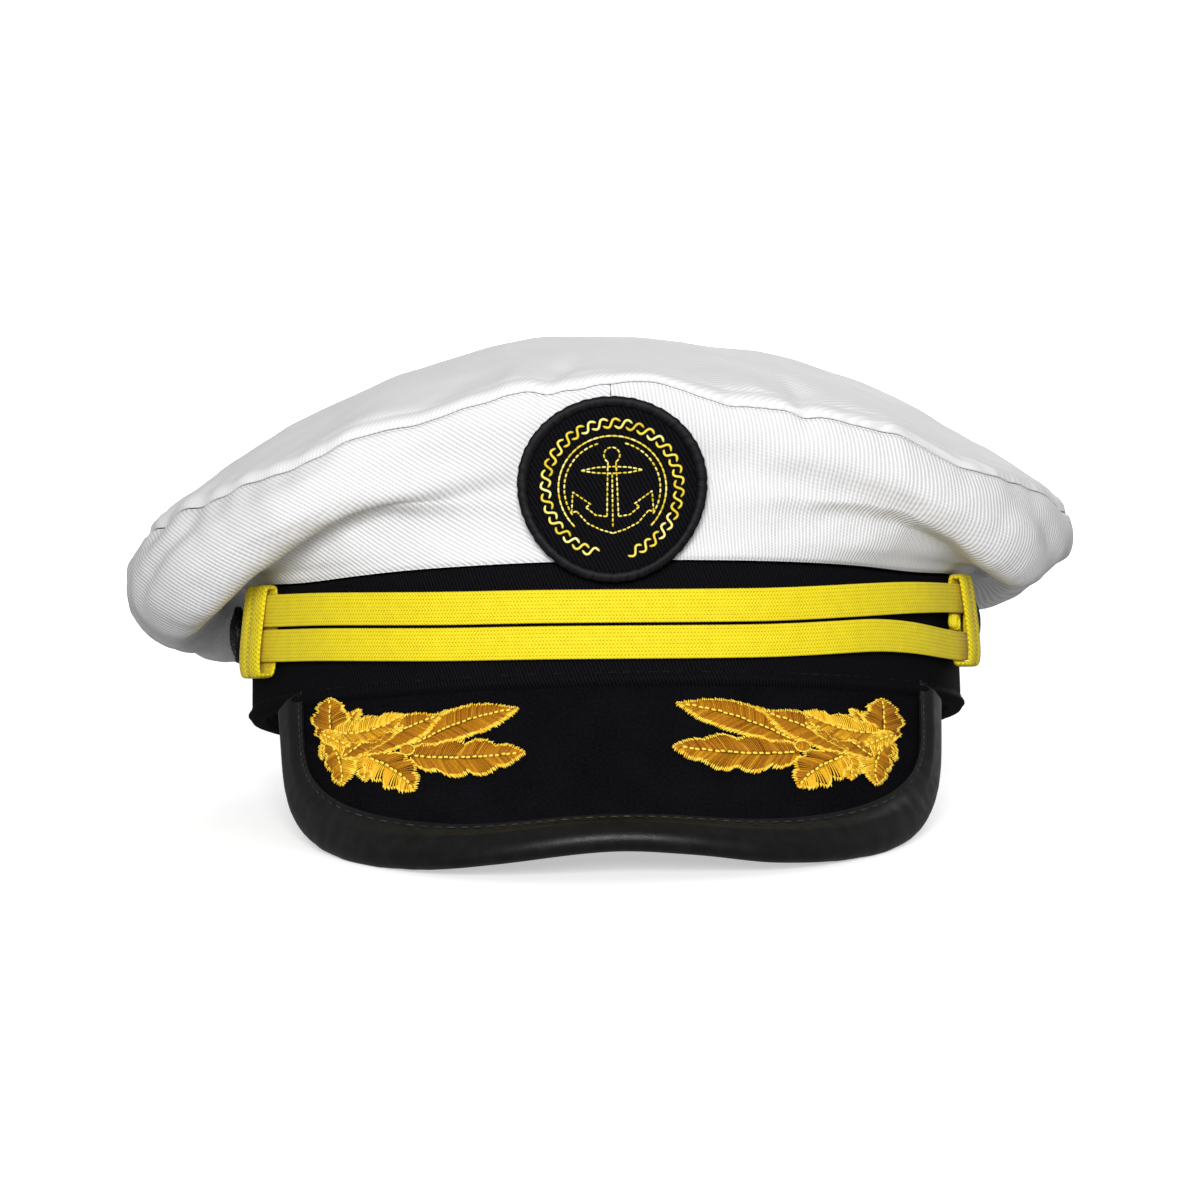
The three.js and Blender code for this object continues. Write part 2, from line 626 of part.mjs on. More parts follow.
// Plain anchor: shackle ring, stock, shank and two curved arms with pointed flukes
function anchorOutline() {
  const shape = new THREE.Shape();
  const shank = 1.6;
  const stock = { half: 8.5, low: 3.4, high: 5.4 };
  shape.moveTo(-shank, -6.6);
  shape.lineTo(-shank, stock.low);
  shape.lineTo(-stock.half, stock.low);
  shape.lineTo(-stock.half, stock.high);
  shape.lineTo(-shank, stock.high);
  shape.lineTo(-shank, 6.6);
  shape.absarc(0, 8.6, 2.56, 1.27 * Math.PI, -0.27 * Math.PI, true);
  shape.lineTo(shank, stock.high);
  shape.lineTo(stock.half, stock.high);
  shape.lineTo(stock.half, stock.low);
  shape.lineTo(shank, stock.low);
  shape.lineTo(shank, -6.6);
  shape.quadraticCurveTo(5.4, -6.2, 7.2, -3.6);
  shape.lineTo(5.8, -3.2);
  shape.lineTo(9.2, -0.4);
  shape.lineTo(10, -4.8);
  shape.lineTo(8.8, -4.2);
  shape.quadraticCurveTo(6.2, -9, 0, -10.4);
  shape.quadraticCurveTo(-6.2, -9, -8.8, -4.2);
  shape.lineTo(-10, -4.8);
  shape.lineTo(-9.2, -0.4);
  shape.lineTo(-5.8, -3.2);
  shape.lineTo(-7.2, -3.6);
  shape.quadraticCurveTo(-5.4, -6.2, -shank, -6.6);
  const eye = new THREE.Path();
  eye.absarc(0, 8.6, 1.3, 0, 2 * Math.PI, false);
  shape.holes.push(eye);
  return shape;
}

const anchor = () => {
  const options = { depth: 0.8, bevelEnabled: false, curveSegments: 4 };
  const flat = new THREE.ExtrudeGeometry(anchorOutline(), options);
  return bend(flat, (x, y, z) => patchPoint(x, y, threadFoot + z));
};

// ---------------------------------------------------------------- chin strap, in the strap group
// Point on the strap: the group's origin lies between the buttons
function onStrap(angle, off, up) {
  const radius = BAND_RADIUS + off;
  return new THREE.Vector3(radius * Math.sin(angle), -radius * Math.cos(angle) - BUTTON_Y, up);
}

// Flat braid with rounded edges
function braid(middle) {
  const [inner, outer] = STRAP_LAYER;
  const half = BRAID_WIDTH / 2;
  const section = [
    [inner, -half + 0.4], [inner + 0.35, -half], [outer - 0.35, -half], [outer, -half + 0.4],
    [outer, half - 0.4], [outer - 0.35, half], [inner + 0.35, half], [inner, half - 0.4],
  ];
  const ring = (angle) => section.map(([off, up]) => onStrap(angle, off, middle + up));
  return loft(steps(-BRAID_HALF_ANGLE, BRAID_HALF_ANGLE, 24).map(ring));
}

// End tab of the strap: it narrows from both braids to a round eye on the button's shank
function endTab(side) {
  const start = BRAID_HALF_ANGLE + GAP / BAND_RADIUS;
  const eyeAngle = Math.asin(1) - Math.asin(-BUTTON_Y / BAND_RADIUS);
  const end = eyeAngle + 4.6 / BAND_RADIUS;
  const ring = (angle) => {
    const u = (angle - start) / (end - start);
    const narrow = lerp(8.6, 5, smooth(0, 0.6, u));
    const round = Math.sqrt(Math.max(1 - (Math.max(u - 0.72, 0) / 0.3) ** 2, 0.05));
    const inner = lerp(STRAP_LAYER[0], TAB_OFF, smooth(0, 0.55, u));
    const outer = inner + TAB_THICKNESS;
    const half = narrow * round;
    return [
      onStrap(side * angle, inner, -half),
      onStrap(side * angle, outer, -half),
      onStrap(side * angle, outer, half),
      onStrap(side * angle, inner, half),
    ];
  };
  const eye = rod(
    new THREE.Vector3(side * (BAND_RADIUS - 3), 0, 0),
    new THREE.Vector3(side * (BAND_RADIUS + 6), 0, 0),
    SHANK_HOLE_RADIUS,
  );
  return cut(loft(steps(start, end, 10).map(ring)), [eye]);
}

// Keeper: a flat loop of braid round both braids
function keeper(side, middle) {
  const [inner, outer] = KEEPER_LAYER;
  const [low, high] = KEEPER_SPAN;
  const loop = (inset) => {
    const shape = new THREE.Shape();
    const corner = 2.2 - inset;
    const [left, right, bottom, top] = [inner + inset, outer - inset, low + inset, high - inset];
    shape.moveTo(left, bottom + corner);
    shape.quadraticCurveTo(left, bottom, left + corner, bottom);
    shape.quadraticCurveTo(right, bottom, right, bottom + 2 * corner);
    shape.lineTo(right, top - 2 * corner);
    shape.quadraticCurveTo(right, top, left + corner, top);
    shape.quadraticCurveTo(left, top, left, top - corner);
    return shape;
  };
  const outline = loop(0);
  outline.holes.push(loop(KEEPER_WALL));
  const options = { depth: KEEPER_WIDTH, steps: 2, bevelEnabled: false, curveSegments: 4 };
  return bend(new THREE.ExtrudeGeometry(outline, options), (off, up, along) =>
    onStrap(side * (middle + (along - KEEPER_WIDTH / 2) / BAND_RADIUS), off, up));
}

// ---------------------------------------------------------------- side buttons, axis along X
function button() {
  const rimEdge = [[BUTTON_RADIUS, 1], [BUTTON_RADIUS, 1.8]];
  const profile = [[0, 0], [3.2, 0], [6.9, 0.4], ...rimEdge, [6.9, 2.4], [6.2, 2.1]];
  const crown = [[5, 2.9], [3.2, 3.5], [1.4, 3.75], [0, BUTTON_THICKNESS]];
  const points = [...profile, ...crown].map(([x, y]) => new THREE.Vector2(x, y));
  return new THREE.LatheGeometry(points, 20);
}

// ---------------------------------------------------------------- assembly
const cap = new THREE.Group();
const strap = new THREE.Group();

function add(parent, name, geometry, look) {
  const mesh = new THREE.Mesh(geometry, MATERIALS[look]);
  mesh.name = name;
  parent.add(mesh);
  return mesh;
}

const HALF = Math.PI / 2;
add(cap, 'crown_top_panel', topPanel(), 'whiteTwill');
add(cap, 'crown_front_left', crownQuarter(-HALF, 0), 'whiteTwill');
add(cap, 'crown_front_right', crownQuarter(0, HALF), 'whiteTwill');
add(cap, 'crown_back_right', crownQuarter(HALF, 2 * HALF), 'whiteTwill');
add(cap, 'crown_back_left', crownQuarter(-2 * HALF, -HALF), 'whiteTwill');
add(cap, 'crown_edge_seam_tape', edgeSeamTape(), 'whiteTwill');
add(cap, 'front_stay', frontStay(), 'buckram');
add(cap, 'lining_side', liningSide(), 'lining');
add(cap, 'lining_top', liningTop(), 'lining');

add(cap, 'hat_band', hatBand(), 'blackTwill');
add(cap, 'band_stiffener', stiffener(), 'buckram');
add(cap, 'band_seam_tape', bandSeamTape(), 'blackTwill');
add(cap, 'sweatband', sweatband(), 'blackTwill');
add(cap, 'blank_label', blankLabel(), 'label');

add(cap, 'back_arch_tape', archTape(), 'blackTwill');
add(cap, 'snap_strap_tab', snapTab(), 'plastic');
add(cap, 'snap_strap_holes', snapHoleStrap(), 'plastic');
add(cap, 'snap_strap_studs', snapStudStrap(), 'plastic');

add(cap, 'peak_board', peakBoard(), 'board');
add(cap, 'peak_top_cover', peakTopCover(), 'blackFelt');
add(cap, 'peak_under_cover', peakUnderCover(), 'blackFelt');
const binding = add(cap, 'peak_binding', peakBinding(), 'leatherette');
add(cap, 'leaf_spray_left', leafSpray(-1, SPRAY_TIPS.left), 'goldThread');
add(cap, 'leaf_spray_right', leafSpray(1, SPRAY_TIPS.right), 'goldThread');

add(cap, 'badge_base', patchBase(), 'blackTwill');
add(cap, 'badge_face', patchFace(), 'blackTwill');
add(cap, 'badge_border', patchBorder(), 'blackThread');
add(cap, 'badge_rope_wreath', ropeWreath(), 'wreathThread');
add(cap, 'badge_inner_ring', innerRing(), 'wreathThread');
add(cap, 'badge_anchor', anchor(), 'wreathThread');

add(strap, 'chin_braid_upper', braid(BRAID_SPACING / 2), 'yellowBraid');
add(strap, 'chin_braid_lower', braid(-BRAID_SPACING / 2), 'yellowBraid');
for (const [name, side] of [['left', -1], ['right', 1]]) {
  add(strap, `strap_end_tab_${name}`, endTab(side), 'yellowBraid');
  add(strap, `keeper_${name}`, keeper(side, KEEPER_ANGLE[name]), 'yellowBraid');
}
strap.position.set(0, BUTTON_Y, BUTTON_Z);
strap.rotation.x = STRAP_SLOPE;
cap.add(strap);

for (const [name, side] of [['left', -1], ['right', 1]]) {
  const cover = add(cap, `side_button_${name}`, button(), 'blackThread');
  cover.position.copy(buttonPoint(side, BUTTON_OFF));
  cover.rotation.z = -side * HALF;
  const along = (from, to, radius) => rod(buttonPoint(side, from), buttonPoint(side, to), radius);
  const [inner, outer] = WASHER_LAYER;
  add(cap, `button_shank_${name}`, along(inner, BUTTON_OFF - GAP, SHANK_RADIUS), 'steel');
  const disc = along(inner, outer, WASHER_RADIUS);
  const bore = along(inner - 1, outer + 1, SHANK_RADIUS + GAP);
  add(cap, `button_washer_${name}`, cut(disc, [bore]), 'steel');
}

// Tip the cap about the back of its band until the peak touches the ground
function restTilt() {
  const position = binding.geometry.getAttribute('position');
  let tilt = 0;
  for (let i = 0; i < position.count; i += 1) {
    tilt = Math.max(tilt, Math.atan2(-position.getZ(i), BAND_BACK - position.getY(i)));
  }
  return tilt;
}

cap.rotation.x = -restTilt();
const standing = new THREE.Group();
standing.add(cap);
standing.updateMatrixWorld(true);
const box = new THREE.Box3().setFromObject(standing, true);
cap.position.set(-(box.min.x + box.max.x) / 2, -(box.min.y + box.max.y) / 2, -box.min.z);

export default standing;
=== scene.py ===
"""Looks of the captain's cap: cloth, thread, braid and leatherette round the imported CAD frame.

Shapes are worked out in the head frame, in millimetres: the band's lower edge lies in z = 0, the middle
of the band's front half circle is the origin and the peak points to -Y. place() brings them to the
frame's metres. Angles run round the head from the front, positive towards +X.
"""

import json
import math

import bpy
import numpy as np
from mathutils import Matrix, Vector


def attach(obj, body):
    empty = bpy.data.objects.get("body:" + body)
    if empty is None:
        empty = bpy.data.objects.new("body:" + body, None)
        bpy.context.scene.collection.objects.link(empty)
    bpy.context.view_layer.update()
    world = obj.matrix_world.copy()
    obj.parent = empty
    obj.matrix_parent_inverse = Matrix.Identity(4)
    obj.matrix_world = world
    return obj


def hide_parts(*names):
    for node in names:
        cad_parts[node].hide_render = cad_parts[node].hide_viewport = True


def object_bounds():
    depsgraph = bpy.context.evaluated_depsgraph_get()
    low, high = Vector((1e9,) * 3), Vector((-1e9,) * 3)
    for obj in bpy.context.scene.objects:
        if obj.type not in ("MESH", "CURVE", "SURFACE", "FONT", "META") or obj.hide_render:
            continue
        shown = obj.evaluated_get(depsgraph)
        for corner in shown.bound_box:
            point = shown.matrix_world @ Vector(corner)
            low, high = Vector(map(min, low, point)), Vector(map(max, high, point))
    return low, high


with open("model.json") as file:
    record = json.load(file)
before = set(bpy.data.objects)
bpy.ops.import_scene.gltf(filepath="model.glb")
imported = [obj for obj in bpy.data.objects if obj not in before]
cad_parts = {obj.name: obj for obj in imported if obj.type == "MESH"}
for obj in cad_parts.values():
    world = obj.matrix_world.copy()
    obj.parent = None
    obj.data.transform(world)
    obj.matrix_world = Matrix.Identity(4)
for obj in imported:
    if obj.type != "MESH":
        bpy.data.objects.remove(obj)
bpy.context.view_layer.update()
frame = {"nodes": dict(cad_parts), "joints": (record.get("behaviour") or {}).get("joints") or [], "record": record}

# ---- driving dimensions, mm
CLOTH = 1.2
BAND_RADIUS = 93.5
BAND_BACK = 108.0
BAND_HEIGHT_FRONT = 30.0
BAND_HEIGHT_SIDE = 34.0
ARCH_HALF = math.radians(22)
ARCH_HEIGHT = 25.0
ARCH_POWER = 6  # of the superellipse that the arch's edge follows
ARCH_TAPE_WIDTH = 4.0
ARCH_TAPE_LAYER = (-1.95, 0.95)
ARCH_TAPE_CLOTH = 0.6
OPEN_BACK = math.radians(30)
TOPSTITCH_Z = 2.6
TOPSTITCH_OFF = -0.1
CROWN_RADIUS = BAND_RADIUS + 12

# Sections of the crown's side as (off the band, height), and the angles in degrees between which
# each knot turns from the front's section to a side's
FRONT_PROFILE = [
    (0.6, 30.4), (1.3, 34), (2.7, 41), (4.4, 49), (6.2, 58), (7.9, 67), (8.6, 73),
]
LEFT_PROFILE = [
    (0.6, 34.4), (4.6, 36), (9, 28), (19.5, 19.8), (29.5, 26.5), (31.5, 38.5), (26.5, 48.7),
]
RIGHT_PROFILE = [
    (0.6, 34.4), (4.6, 36.8), (9.5, 34), (19, 31.5), (27.5, 35.5), (30.3, 43), (29, 49.5),
]
BACK_PROFILE = [
    (0.6, 34.4), (4.4, 35.5), (10, 30), (20, 26), (29, 31), (32, 42), (29, 52),
]
PROFILE_TURN = [(50, 92), (50, 92), (25, 88), (8, 70), (5, 75), (0, 78), (0, 78)]
APEX = np.array([0.0, -14.0, 96.0])  # of the crown's top
DOME_POWER = 2.08
DOME_ROUND = 0.9
SEAM_GAP = 1.5
SEAM_SLIT = 0.45
SEAM_DEPTH = 0.75
SEAM_ROLL = 0.9

PEAK_HALF_ANGLE = math.radians(65.2)
PEAK_HALF_WIDTH = BAND_RADIUS * math.sin(PEAK_HALF_ANGLE)
PEAK_LENGTH = 53.2
PEAK_POWER = 4  # of the superellipse that the peak's outline follows
PEAK_CORNER = 0.045
PEAK_SLOPE = math.radians(50.5)
PEAK_SIDE_SLOPE = math.radians(15)
PEAK_CLOSING = 0.05
PEAK_ROOT = (-2.0, -1.7)
PEAK_COVER = (1.1, 1.7)
PEAK_COVER_INSET = 1.5
PEAK_TUCK = 1.3
BINDING_HALF = 3.2
BINDING_WIDTH = 9.4
BINDING_OUT = (0.3, 2.3)
BINDING_SPREAD = 0.62

PATCH_RADIUS = 22.8
PATCH_Z = 47.4
PATCH_FOOT = 1.7
PATCH_LEAN = 0.165
PATCH_FLARE = 0.026
PATCH_BORDER = 2.6

BUTTON_Y = -6.0
BUTTON_Z = 22.2
STRAP_SLOPE = math.radians(5)
STRAP_RISE = 1.2
STRAP_LAYER = (2.6, 3.7)
TAB_HALF = (8.6, 5.0)
BRAID_WIDTH = 8.3
BRAID_SPACING = 9.0
BRAID_HALF_ANGLE = math.radians(75)
KEEPER_ANGLE = {"left": math.radians(-68), "right": math.radians(72)}
KEEPER_WIDTH = 10.0
KEEPER_LAYER = (1.05, 7.2)
KEEPER_SPAN = (-12.6, 10.8)
KEEPER_WALL = 1.1
KEEPER_SPREAD = {"left": 1.9, "right": 0.5}
BUTTON_RADIUS = 7.5
BUTTON_OFF = 1.8
BUTTON_RIM = 0.8

CAMERA_AZIMUTH = math.radians(-1.35)
CAMERA_ELEVATION = math.radians(6.35)
CAMERA_ROLL = math.radians(-0.8)
CAMERA_TARGET = (-1.2, 0, 30.475)
CAMERA_DISTANCE_M = 1.5
CAMERA_LENS = 169.8
FLOOR_RADIUS_M = 5.2
BACKDROP_RADIUS_M = 5.0
WORLD_GLOW = 0.31
# Area lights: name, place and size in metres, power in watts
LIGHTS = [("key", (-0.12, -2.3, 0.75), 0.6, 56), ("back", (0.6, 2.3, 0.6), 1.4, 42)]
LIGHT_TARGET = (0, 0, 0.06)

TURN = 2 * math.pi
random = np.random.default_rng(11)


# ---- head frame to the frame's metres
def head_to_row():
    """Matrix from the head frame to the frame's. The cap stands tipped back: the rim mount points
    down the head, and the chin strap's hinge is a known point."""
    record = frame["record"]
    down = next(m["axis"] for m in record["mounts"] if m["name"] == "band_rim")
    tilt = math.atan2(-down[1], -down[2])
    pivot = next(j["pos_m"] for j in frame["joints"] if j["name"] == "chin_strap_swing")
    rotation = Matrix.Rotation(-tilt, 4, "X")
    known = rotation @ (Vector((0, BUTTON_Y, BUTTON_Z)) * 0.001)
    return Matrix.Translation(Vector(pivot) - known) @ rotation @ Matrix.Scale(0.001, 4)


TO_ROW = np.array(head_to_row())


def place(points):
    """Head frame millimetres to row frame metres."""
    return np.asarray(points) @ TO_ROW[:3, :3].T + TO_ROW[:3, 3]


# ---- small maths
def smooth(low, high, x):
    """0 up to low, 1 from high, and a soft step between."""
    u = np.clip((x - low) / (high - low), 0, 1)
    return u * u * (3 - 2 * u)


def mix(a, b, share):
    return a + (b - a) * share


def bump_at(x, centre, width):
    """Bell of height 1."""
    return np.exp(-(((x - centre) / width) ** 2))


def unit(vectors):
    return vectors / np.maximum(np.linalg.norm(vectors, axis=-1, keepdims=True), 1e-9)


def bulging(wave, power):
    """A sine or cosine made squarer (power below 1), with its sign kept."""
    return np.sign(wave) * np.abs(wave) ** power


def wrapped(angle):
    """The same angle between -pi and pi."""
    return (angle + math.pi) % TURN - math.pi


def around(count):
    """Angles of a closed section's points."""
    return np.arange(count) * TURN / count


def ring_angles(count, open_at=0.0):
    """Angles round the head, all the way or leaving the back open by so much on each side."""
    if open_at:
        return np.linspace(-math.pi + open_at, math.pi - open_at, count)
    return np.linspace(-math.pi, math.pi, count, endpoint=False)


def run_along(path):
    """Running length along a path of points."""
    return np.concatenate([[0], np.linalg.norm(np.diff(path, axis=0), axis=-1).cumsum()])


class Waves:
    """Smooth random function of a point: a sum of sines with random directions, about -1 to 1."""

    def __init__(self, wavelength):
        count = 24
        directions = unit(random.normal(size=(count, 3)))
        lengths = wavelength * random.uniform(0.6, 1.7, (count, 1))
        self.waves = directions * TURN / lengths
        self.phases = random.uniform(0, TURN, count)
        self.scale = math.sqrt(2 / count) / 1.2

    def __call__(self, points):
        total = np.zeros(points.shape[:-1])
        for wave, phase in zip(self.waves, self.phases):
            total += np.sin(points @ wave + phase)
        return total * self.scale


# ---- meshes
def grid_faces(rows, columns, close_rows=False, close_columns=False):
    r = np.arange(rows if close_rows else rows - 1)
    c = np.arange(columns if close_columns else columns - 1)
    r, c = np.meshgrid(r, c, indexing="ij")
    r2, c2 = (r + 1) % rows, (c + 1) % columns
    quads = [r * columns + c, r2 * columns + c, r2 * columns + c2, r * columns + c2]
    return np.stack(quads, -1).reshape(-1, 4)


def outward(points, faces):
    """Faces (quads) turned so that the closed body's volume is positive."""
    a, b, c, d = (points[faces[:, i]] for i in range(4))
    volume = np.einsum("ij,ij->", a, np.cross(b, c)) + np.einsum("ij,ij->", a, np.cross(c, d))
    return faces if volume > 0 else faces[:, ::-1]


def new_piece(name, points, faces, look, body="root", uv=None, tone=None, sharp=50, node=None):
    """A mesh piece from head frame points and quads, in place of the CAD node it details, if any.
    uv and tone hold one value per point."""
    points = np.asarray(points).reshape(-1, 3)
    faces = outward(points - points.mean(0), faces)
    mesh = bpy.data.meshes.new(name)
    count = len(faces)
    mesh.vertices.add(len(points))
    mesh.vertices.foreach_set("co", place(points).astype(np.float32).ravel())
    mesh.loops.add(count * 4)
    mesh.loops.foreach_set("vertex_index", faces.astype(np.int32).ravel())
    mesh.polygons.add(count)
    mesh.polygons.foreach_set("loop_start", np.arange(0, count * 4, 4, dtype=np.int32))
    mesh.update(calc_edges=True)
    mesh.shade_smooth()
    if uv is not None:
        layer = mesh.uv_layers.new(name="cloth")
        corners = np.asarray(uv, np.float32).reshape(-1, 2)[faces.ravel()]
        layer.uv.foreach_set("vector", corners.ravel())
    if tone is not None:
        layer = mesh.attributes.new("tone", "FLOAT", "POINT")
        layer.data.foreach_set("value", np.asarray(tone, np.float32).ravel())
    if sharp:
        mesh.set_sharp_from_angle(angle=math.radians(sharp))
    piece = bpy.data.objects.new(name, mesh)
    bpy.context.scene.collection.objects.link(piece)
    material, slot = look
    mesh.materials.append(material)
    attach(piece, body)
    if node:
        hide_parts(node)


def shell(outer, inner, closed=False):
    """Closed body between two grids of points, whose rows may run all the way round (closed)."""
    rows, columns = outer.shape[:2]
    points = np.concatenate([outer.reshape(-1, 3), inner.reshape(-1, 3)])
    half = rows * columns
    top = grid_faces(rows, columns, close_rows=closed)
    faces = [top, top[:, ::-1] + half]
    index = np.arange(half).reshape(rows, columns)
    rails = np.concatenate([index, index[:1]]) if closed else index
    edges = [(rails[:, 0], True), (rails[:, -1], False)]
    if not closed:
        edges += [(index[0], False), (index[-1], True)]
    for edge, flip in edges:
        a, b = edge[:-1], edge[1:]
        wall = np.stack([a, a + half, b + half, b], -1)
        faces.append(wall[:, ::-1] if flip else wall)
    return points, np.concatenate(faces)


def both_faces(u, v):
    """Cloth coordinates of a shell: the same on its two faces."""
    uv = np.stack(np.broadcast_arrays(u, v), -1).reshape(-1, 2)
    return np.concatenate([uv, uv])


def loft(rings, closed=False):
    """Closed body through rings of evenly many points; a ladder of quads caps each end."""
    rows, columns = rings.shape[:2]
    faces = grid_faces(rows, columns, close_rows=closed, close_columns=True)
    if not closed:
        i = np.arange(columns // 2 - 1)
        cap = np.stack([i, i + 1, columns - 2 - i, columns - 1 - i], -1)
        faces = np.concatenate([faces, cap, cap[:, ::-1] + (rows - 1) * columns])
    return rings.reshape(-1, 3), faces


def tubes(paths, ups, width, height, taper, sides=6):
    """Many threads at once. paths is threads x points x 3, ups their outward directions, width and
    height half sizes that fit threads x points, and taper the share left at the ends. Returns
    points, faces and points per thread."""
    tangent = unit(np.gradient(paths, axis=1))
    side = unit(np.cross(tangent, ups))
    up = np.cross(side, tangent)
    count, length = paths.shape[:2]
    share = np.ones(length)
    share[[0, -1]] = taper
    width, height = (np.broadcast_to(size, (count, length)) * share for size in (width, height))
    spoke = np.arange(sides) * TURN / sides
    rings = (
        paths[:, :, None]
        + (width[..., None] * np.cos(spoke))[..., None] * side[:, :, None]
        + (height[..., None] * np.sin(spoke))[..., None] * up[:, :, None]
    )
    _, faces = loft(rings[0])
    each = length * sides
    all_faces = (faces[None] + (np.arange(count) * each)[:, None, None]).reshape(-1, 4)
    return rings.reshape(-1, 3), all_faces, each


def thread_piece(name, groups, look, height, taper, node=None):
    """One piece of many threads, from groups of (paths, outward directions, half width, tones)."""
    points, faces, tones, start = [], [], [], 0
    for paths, ups, width, tone in groups:
        made, quads, each = tubes(paths, ups, width, height, taper)
        points.append(made)
        faces.append(quads + start)
        start += len(made)
        tones.append(np.repeat(tone, each))
    points, faces, tones = (np.concatenate(parts) for parts in (points, faces, tones))
    new_piece(name, points, faces, look, tone=tones, sharp=0, node=node)


# ---- shader nodes
class Look:
    """A procedural material under construction: a Principled shader and shorthand for its nodes."""

    def __init__(self, name, color, roughness, **sockets):
        self.material = bpy.data.materials.new(name)
        self.material.use_nodes = True
        self.tree = self.material.node_tree
        self.shader = self.tree.nodes["Principled BSDF"]
        self.set("Base Color", (*color, 1))
        self.set("Roughness", roughness)
        for socket, value in sockets.items():
            self.set(socket.replace("_", " "), value)
        self.height = None

    def set(self, socket, value):
        self.shader.inputs[socket].default_value = value

    def node(self, kind, **values):
        made = self.tree.nodes.new("ShaderNode" + kind)
        for key, value in values.items():
            setattr(made, key, value)
        return made

    def join(self, source, node, socket):
        self.tree.links.new(source, node.inputs[socket])

    def math(self, operation, a, b=0.0, c=0.0):
        made = self.node("Math", operation=operation)
        for i, value in enumerate((a, b, c)):
            if isinstance(value, (int, float)):
                made.inputs[i].default_value = value
            else:
                self.join(value, made, i)
        return made.outputs[0]

    def uv(self):
        return self.node("UVMap", uv_map="cloth").outputs[0]

    def place(self):
        """Head-size coordinates in mm, fixed to the object."""
        where = self.node("TexCoord").outputs["Object"]
        scaled = self.node("VectorMath", operation="SCALE")
        self.join(where, scaled, 0)
        scaled.inputs["Scale"].default_value = 1000
        return scaled.outputs[0]

    def split(self, vector):
        made = self.node("SeparateXYZ")
        self.join(vector, made, 0)
        return made.outputs

    def noise(self, vector, size, detail=2.0, roughness=0.5):
        made = self.node("TexNoise")
        self.join(vector, made, "Vector")
        made.inputs["Scale"].default_value = 1 / size
        made.inputs["Detail"].default_value = detail
        made.inputs["Roughness"].default_value = roughness
        return made.outputs[0]

    def lines(self, vector, angle, pitch, wander=None):
        """Sine ridges across a plane: angle in degrees from u, pitch in mm. 0 to 1."""
        u, v, _ = self.split(vector)
        turned = math.radians(angle)
        across = self.math("MULTIPLY", u, -math.sin(turned))
        across = self.math("ADD", across, self.math("MULTIPLY", v, math.cos(turned)))
        if wander is not None:
            across = self.math("ADD", across, wander)
        wave = self.math("SINE", self.math("MULTIPLY", across, TURN / pitch))
        return self.math("MULTIPLY_ADD", wave, 0.5, 0.5)

    def tone(self):
        return self.node("Attribute", attribute_name="tone").outputs["Fac"]

    def ramp(self, value, stops):
        made = self.node("ValToRGB")
        self.join(value, made, 0)
        elements = made.color_ramp.elements
        for element, (position, color) in zip(elements, stops):
            element.position = position
            element.color = (*color, 1)
        for position, color in stops[2:]:
            elements.new(position).color = (*color, 1)
        return made.outputs[0]

    def color(self, value, stops):
        self.join(self.ramp(value, stops), self.shader, "Base Color")

    def bump(self, height, distance):
        """Adds a bump of so many mm; several calls stack."""
        made = self.node("Bump")
        made.inputs["Distance"].default_value = distance * 0.001
        self.join(height, made, "Height")
        if self.height is not None:
            self.join(self.height, made, "Normal")
        self.height = made.outputs[0]
        self.join(self.height, self.shader, "Normal")


# ---- materials
WHITE = (0.80, 0.80, 0.81)


def white_twill(name, angle, depth=1.0):
    look = Look(name, WHITE, 0.88, Sheen_Weight=0.1, Specular_IOR_Level=0.15)
    cloth = look.uv()
    drift = look.math("MULTIPLY", look.noise(cloth, 22, 3), 1.6)
    rib = look.lines(cloth, angle, 1.0, drift)
    weft = look.lines(cloth, angle + 62, 0.62, drift)
    slub = look.noise(cloth, 1.3, 4, 0.7)
    weave = look.math("MULTIPLY_ADD", weft, 0.15, look.math("MULTIPLY", rib, 0.6))
    weave = look.math("MULTIPLY_ADD", slub, 0.35, weave)
    low = 0.80 - 0.2 * depth
    look.color(weave, [(0.15, (low, low, low * 1.02)), (0.55, WHITE), (0.95, (0.87, 0.87, 0.87))])
    look.bump(weave, 0.2 * depth)
    return look.material, "white_twill"


def black_twill(name, angle, pitch=0.85):
    look = Look(name, (0.006, 0.006, 0.008), 0.85, Specular_IOR_Level=0.03)
    cloth = look.uv()
    drift = look.math("MULTIPLY", look.noise(cloth, 15, 3), 1.2)
    rib = look.lines(cloth, angle, pitch, drift)
    slub = look.noise(cloth, 0.9, 4, 0.7)
    weave = look.math("MULTIPLY_ADD", slub, 0.6, look.math("MULTIPLY", rib, 0.5))
    look.color(weave, [(0.2, (0.001, 0.001, 0.0015)), (0.9, (0.008, 0.008, 0.010))])
    look.bump(weave, 0.16)
    return look.material, "black_twill"


def black_felt(name):
    look = Look(name, (0.005, 0.005, 0.007), 0.95, Specular_IOR_Level=0.02)
    cloth = look.uv()
    nap = look.noise(cloth, 0.8, 6, 0.75)
    patch = look.noise(cloth, 14, 3)
    look.color(
        look.math("MULTIPLY_ADD", patch, 0.3, nap),
        [(0.4, (0.001, 0.001, 0.0016)), (0.85, (0.007, 0.007, 0.009)), (0.97, (0.05, 0.05, 0.055))],
    )
    look.bump(nap, 0.15)
    look.bump(look.lines(cloth, -72, 0.9), 0.03)
    return look.material, "black_felt"


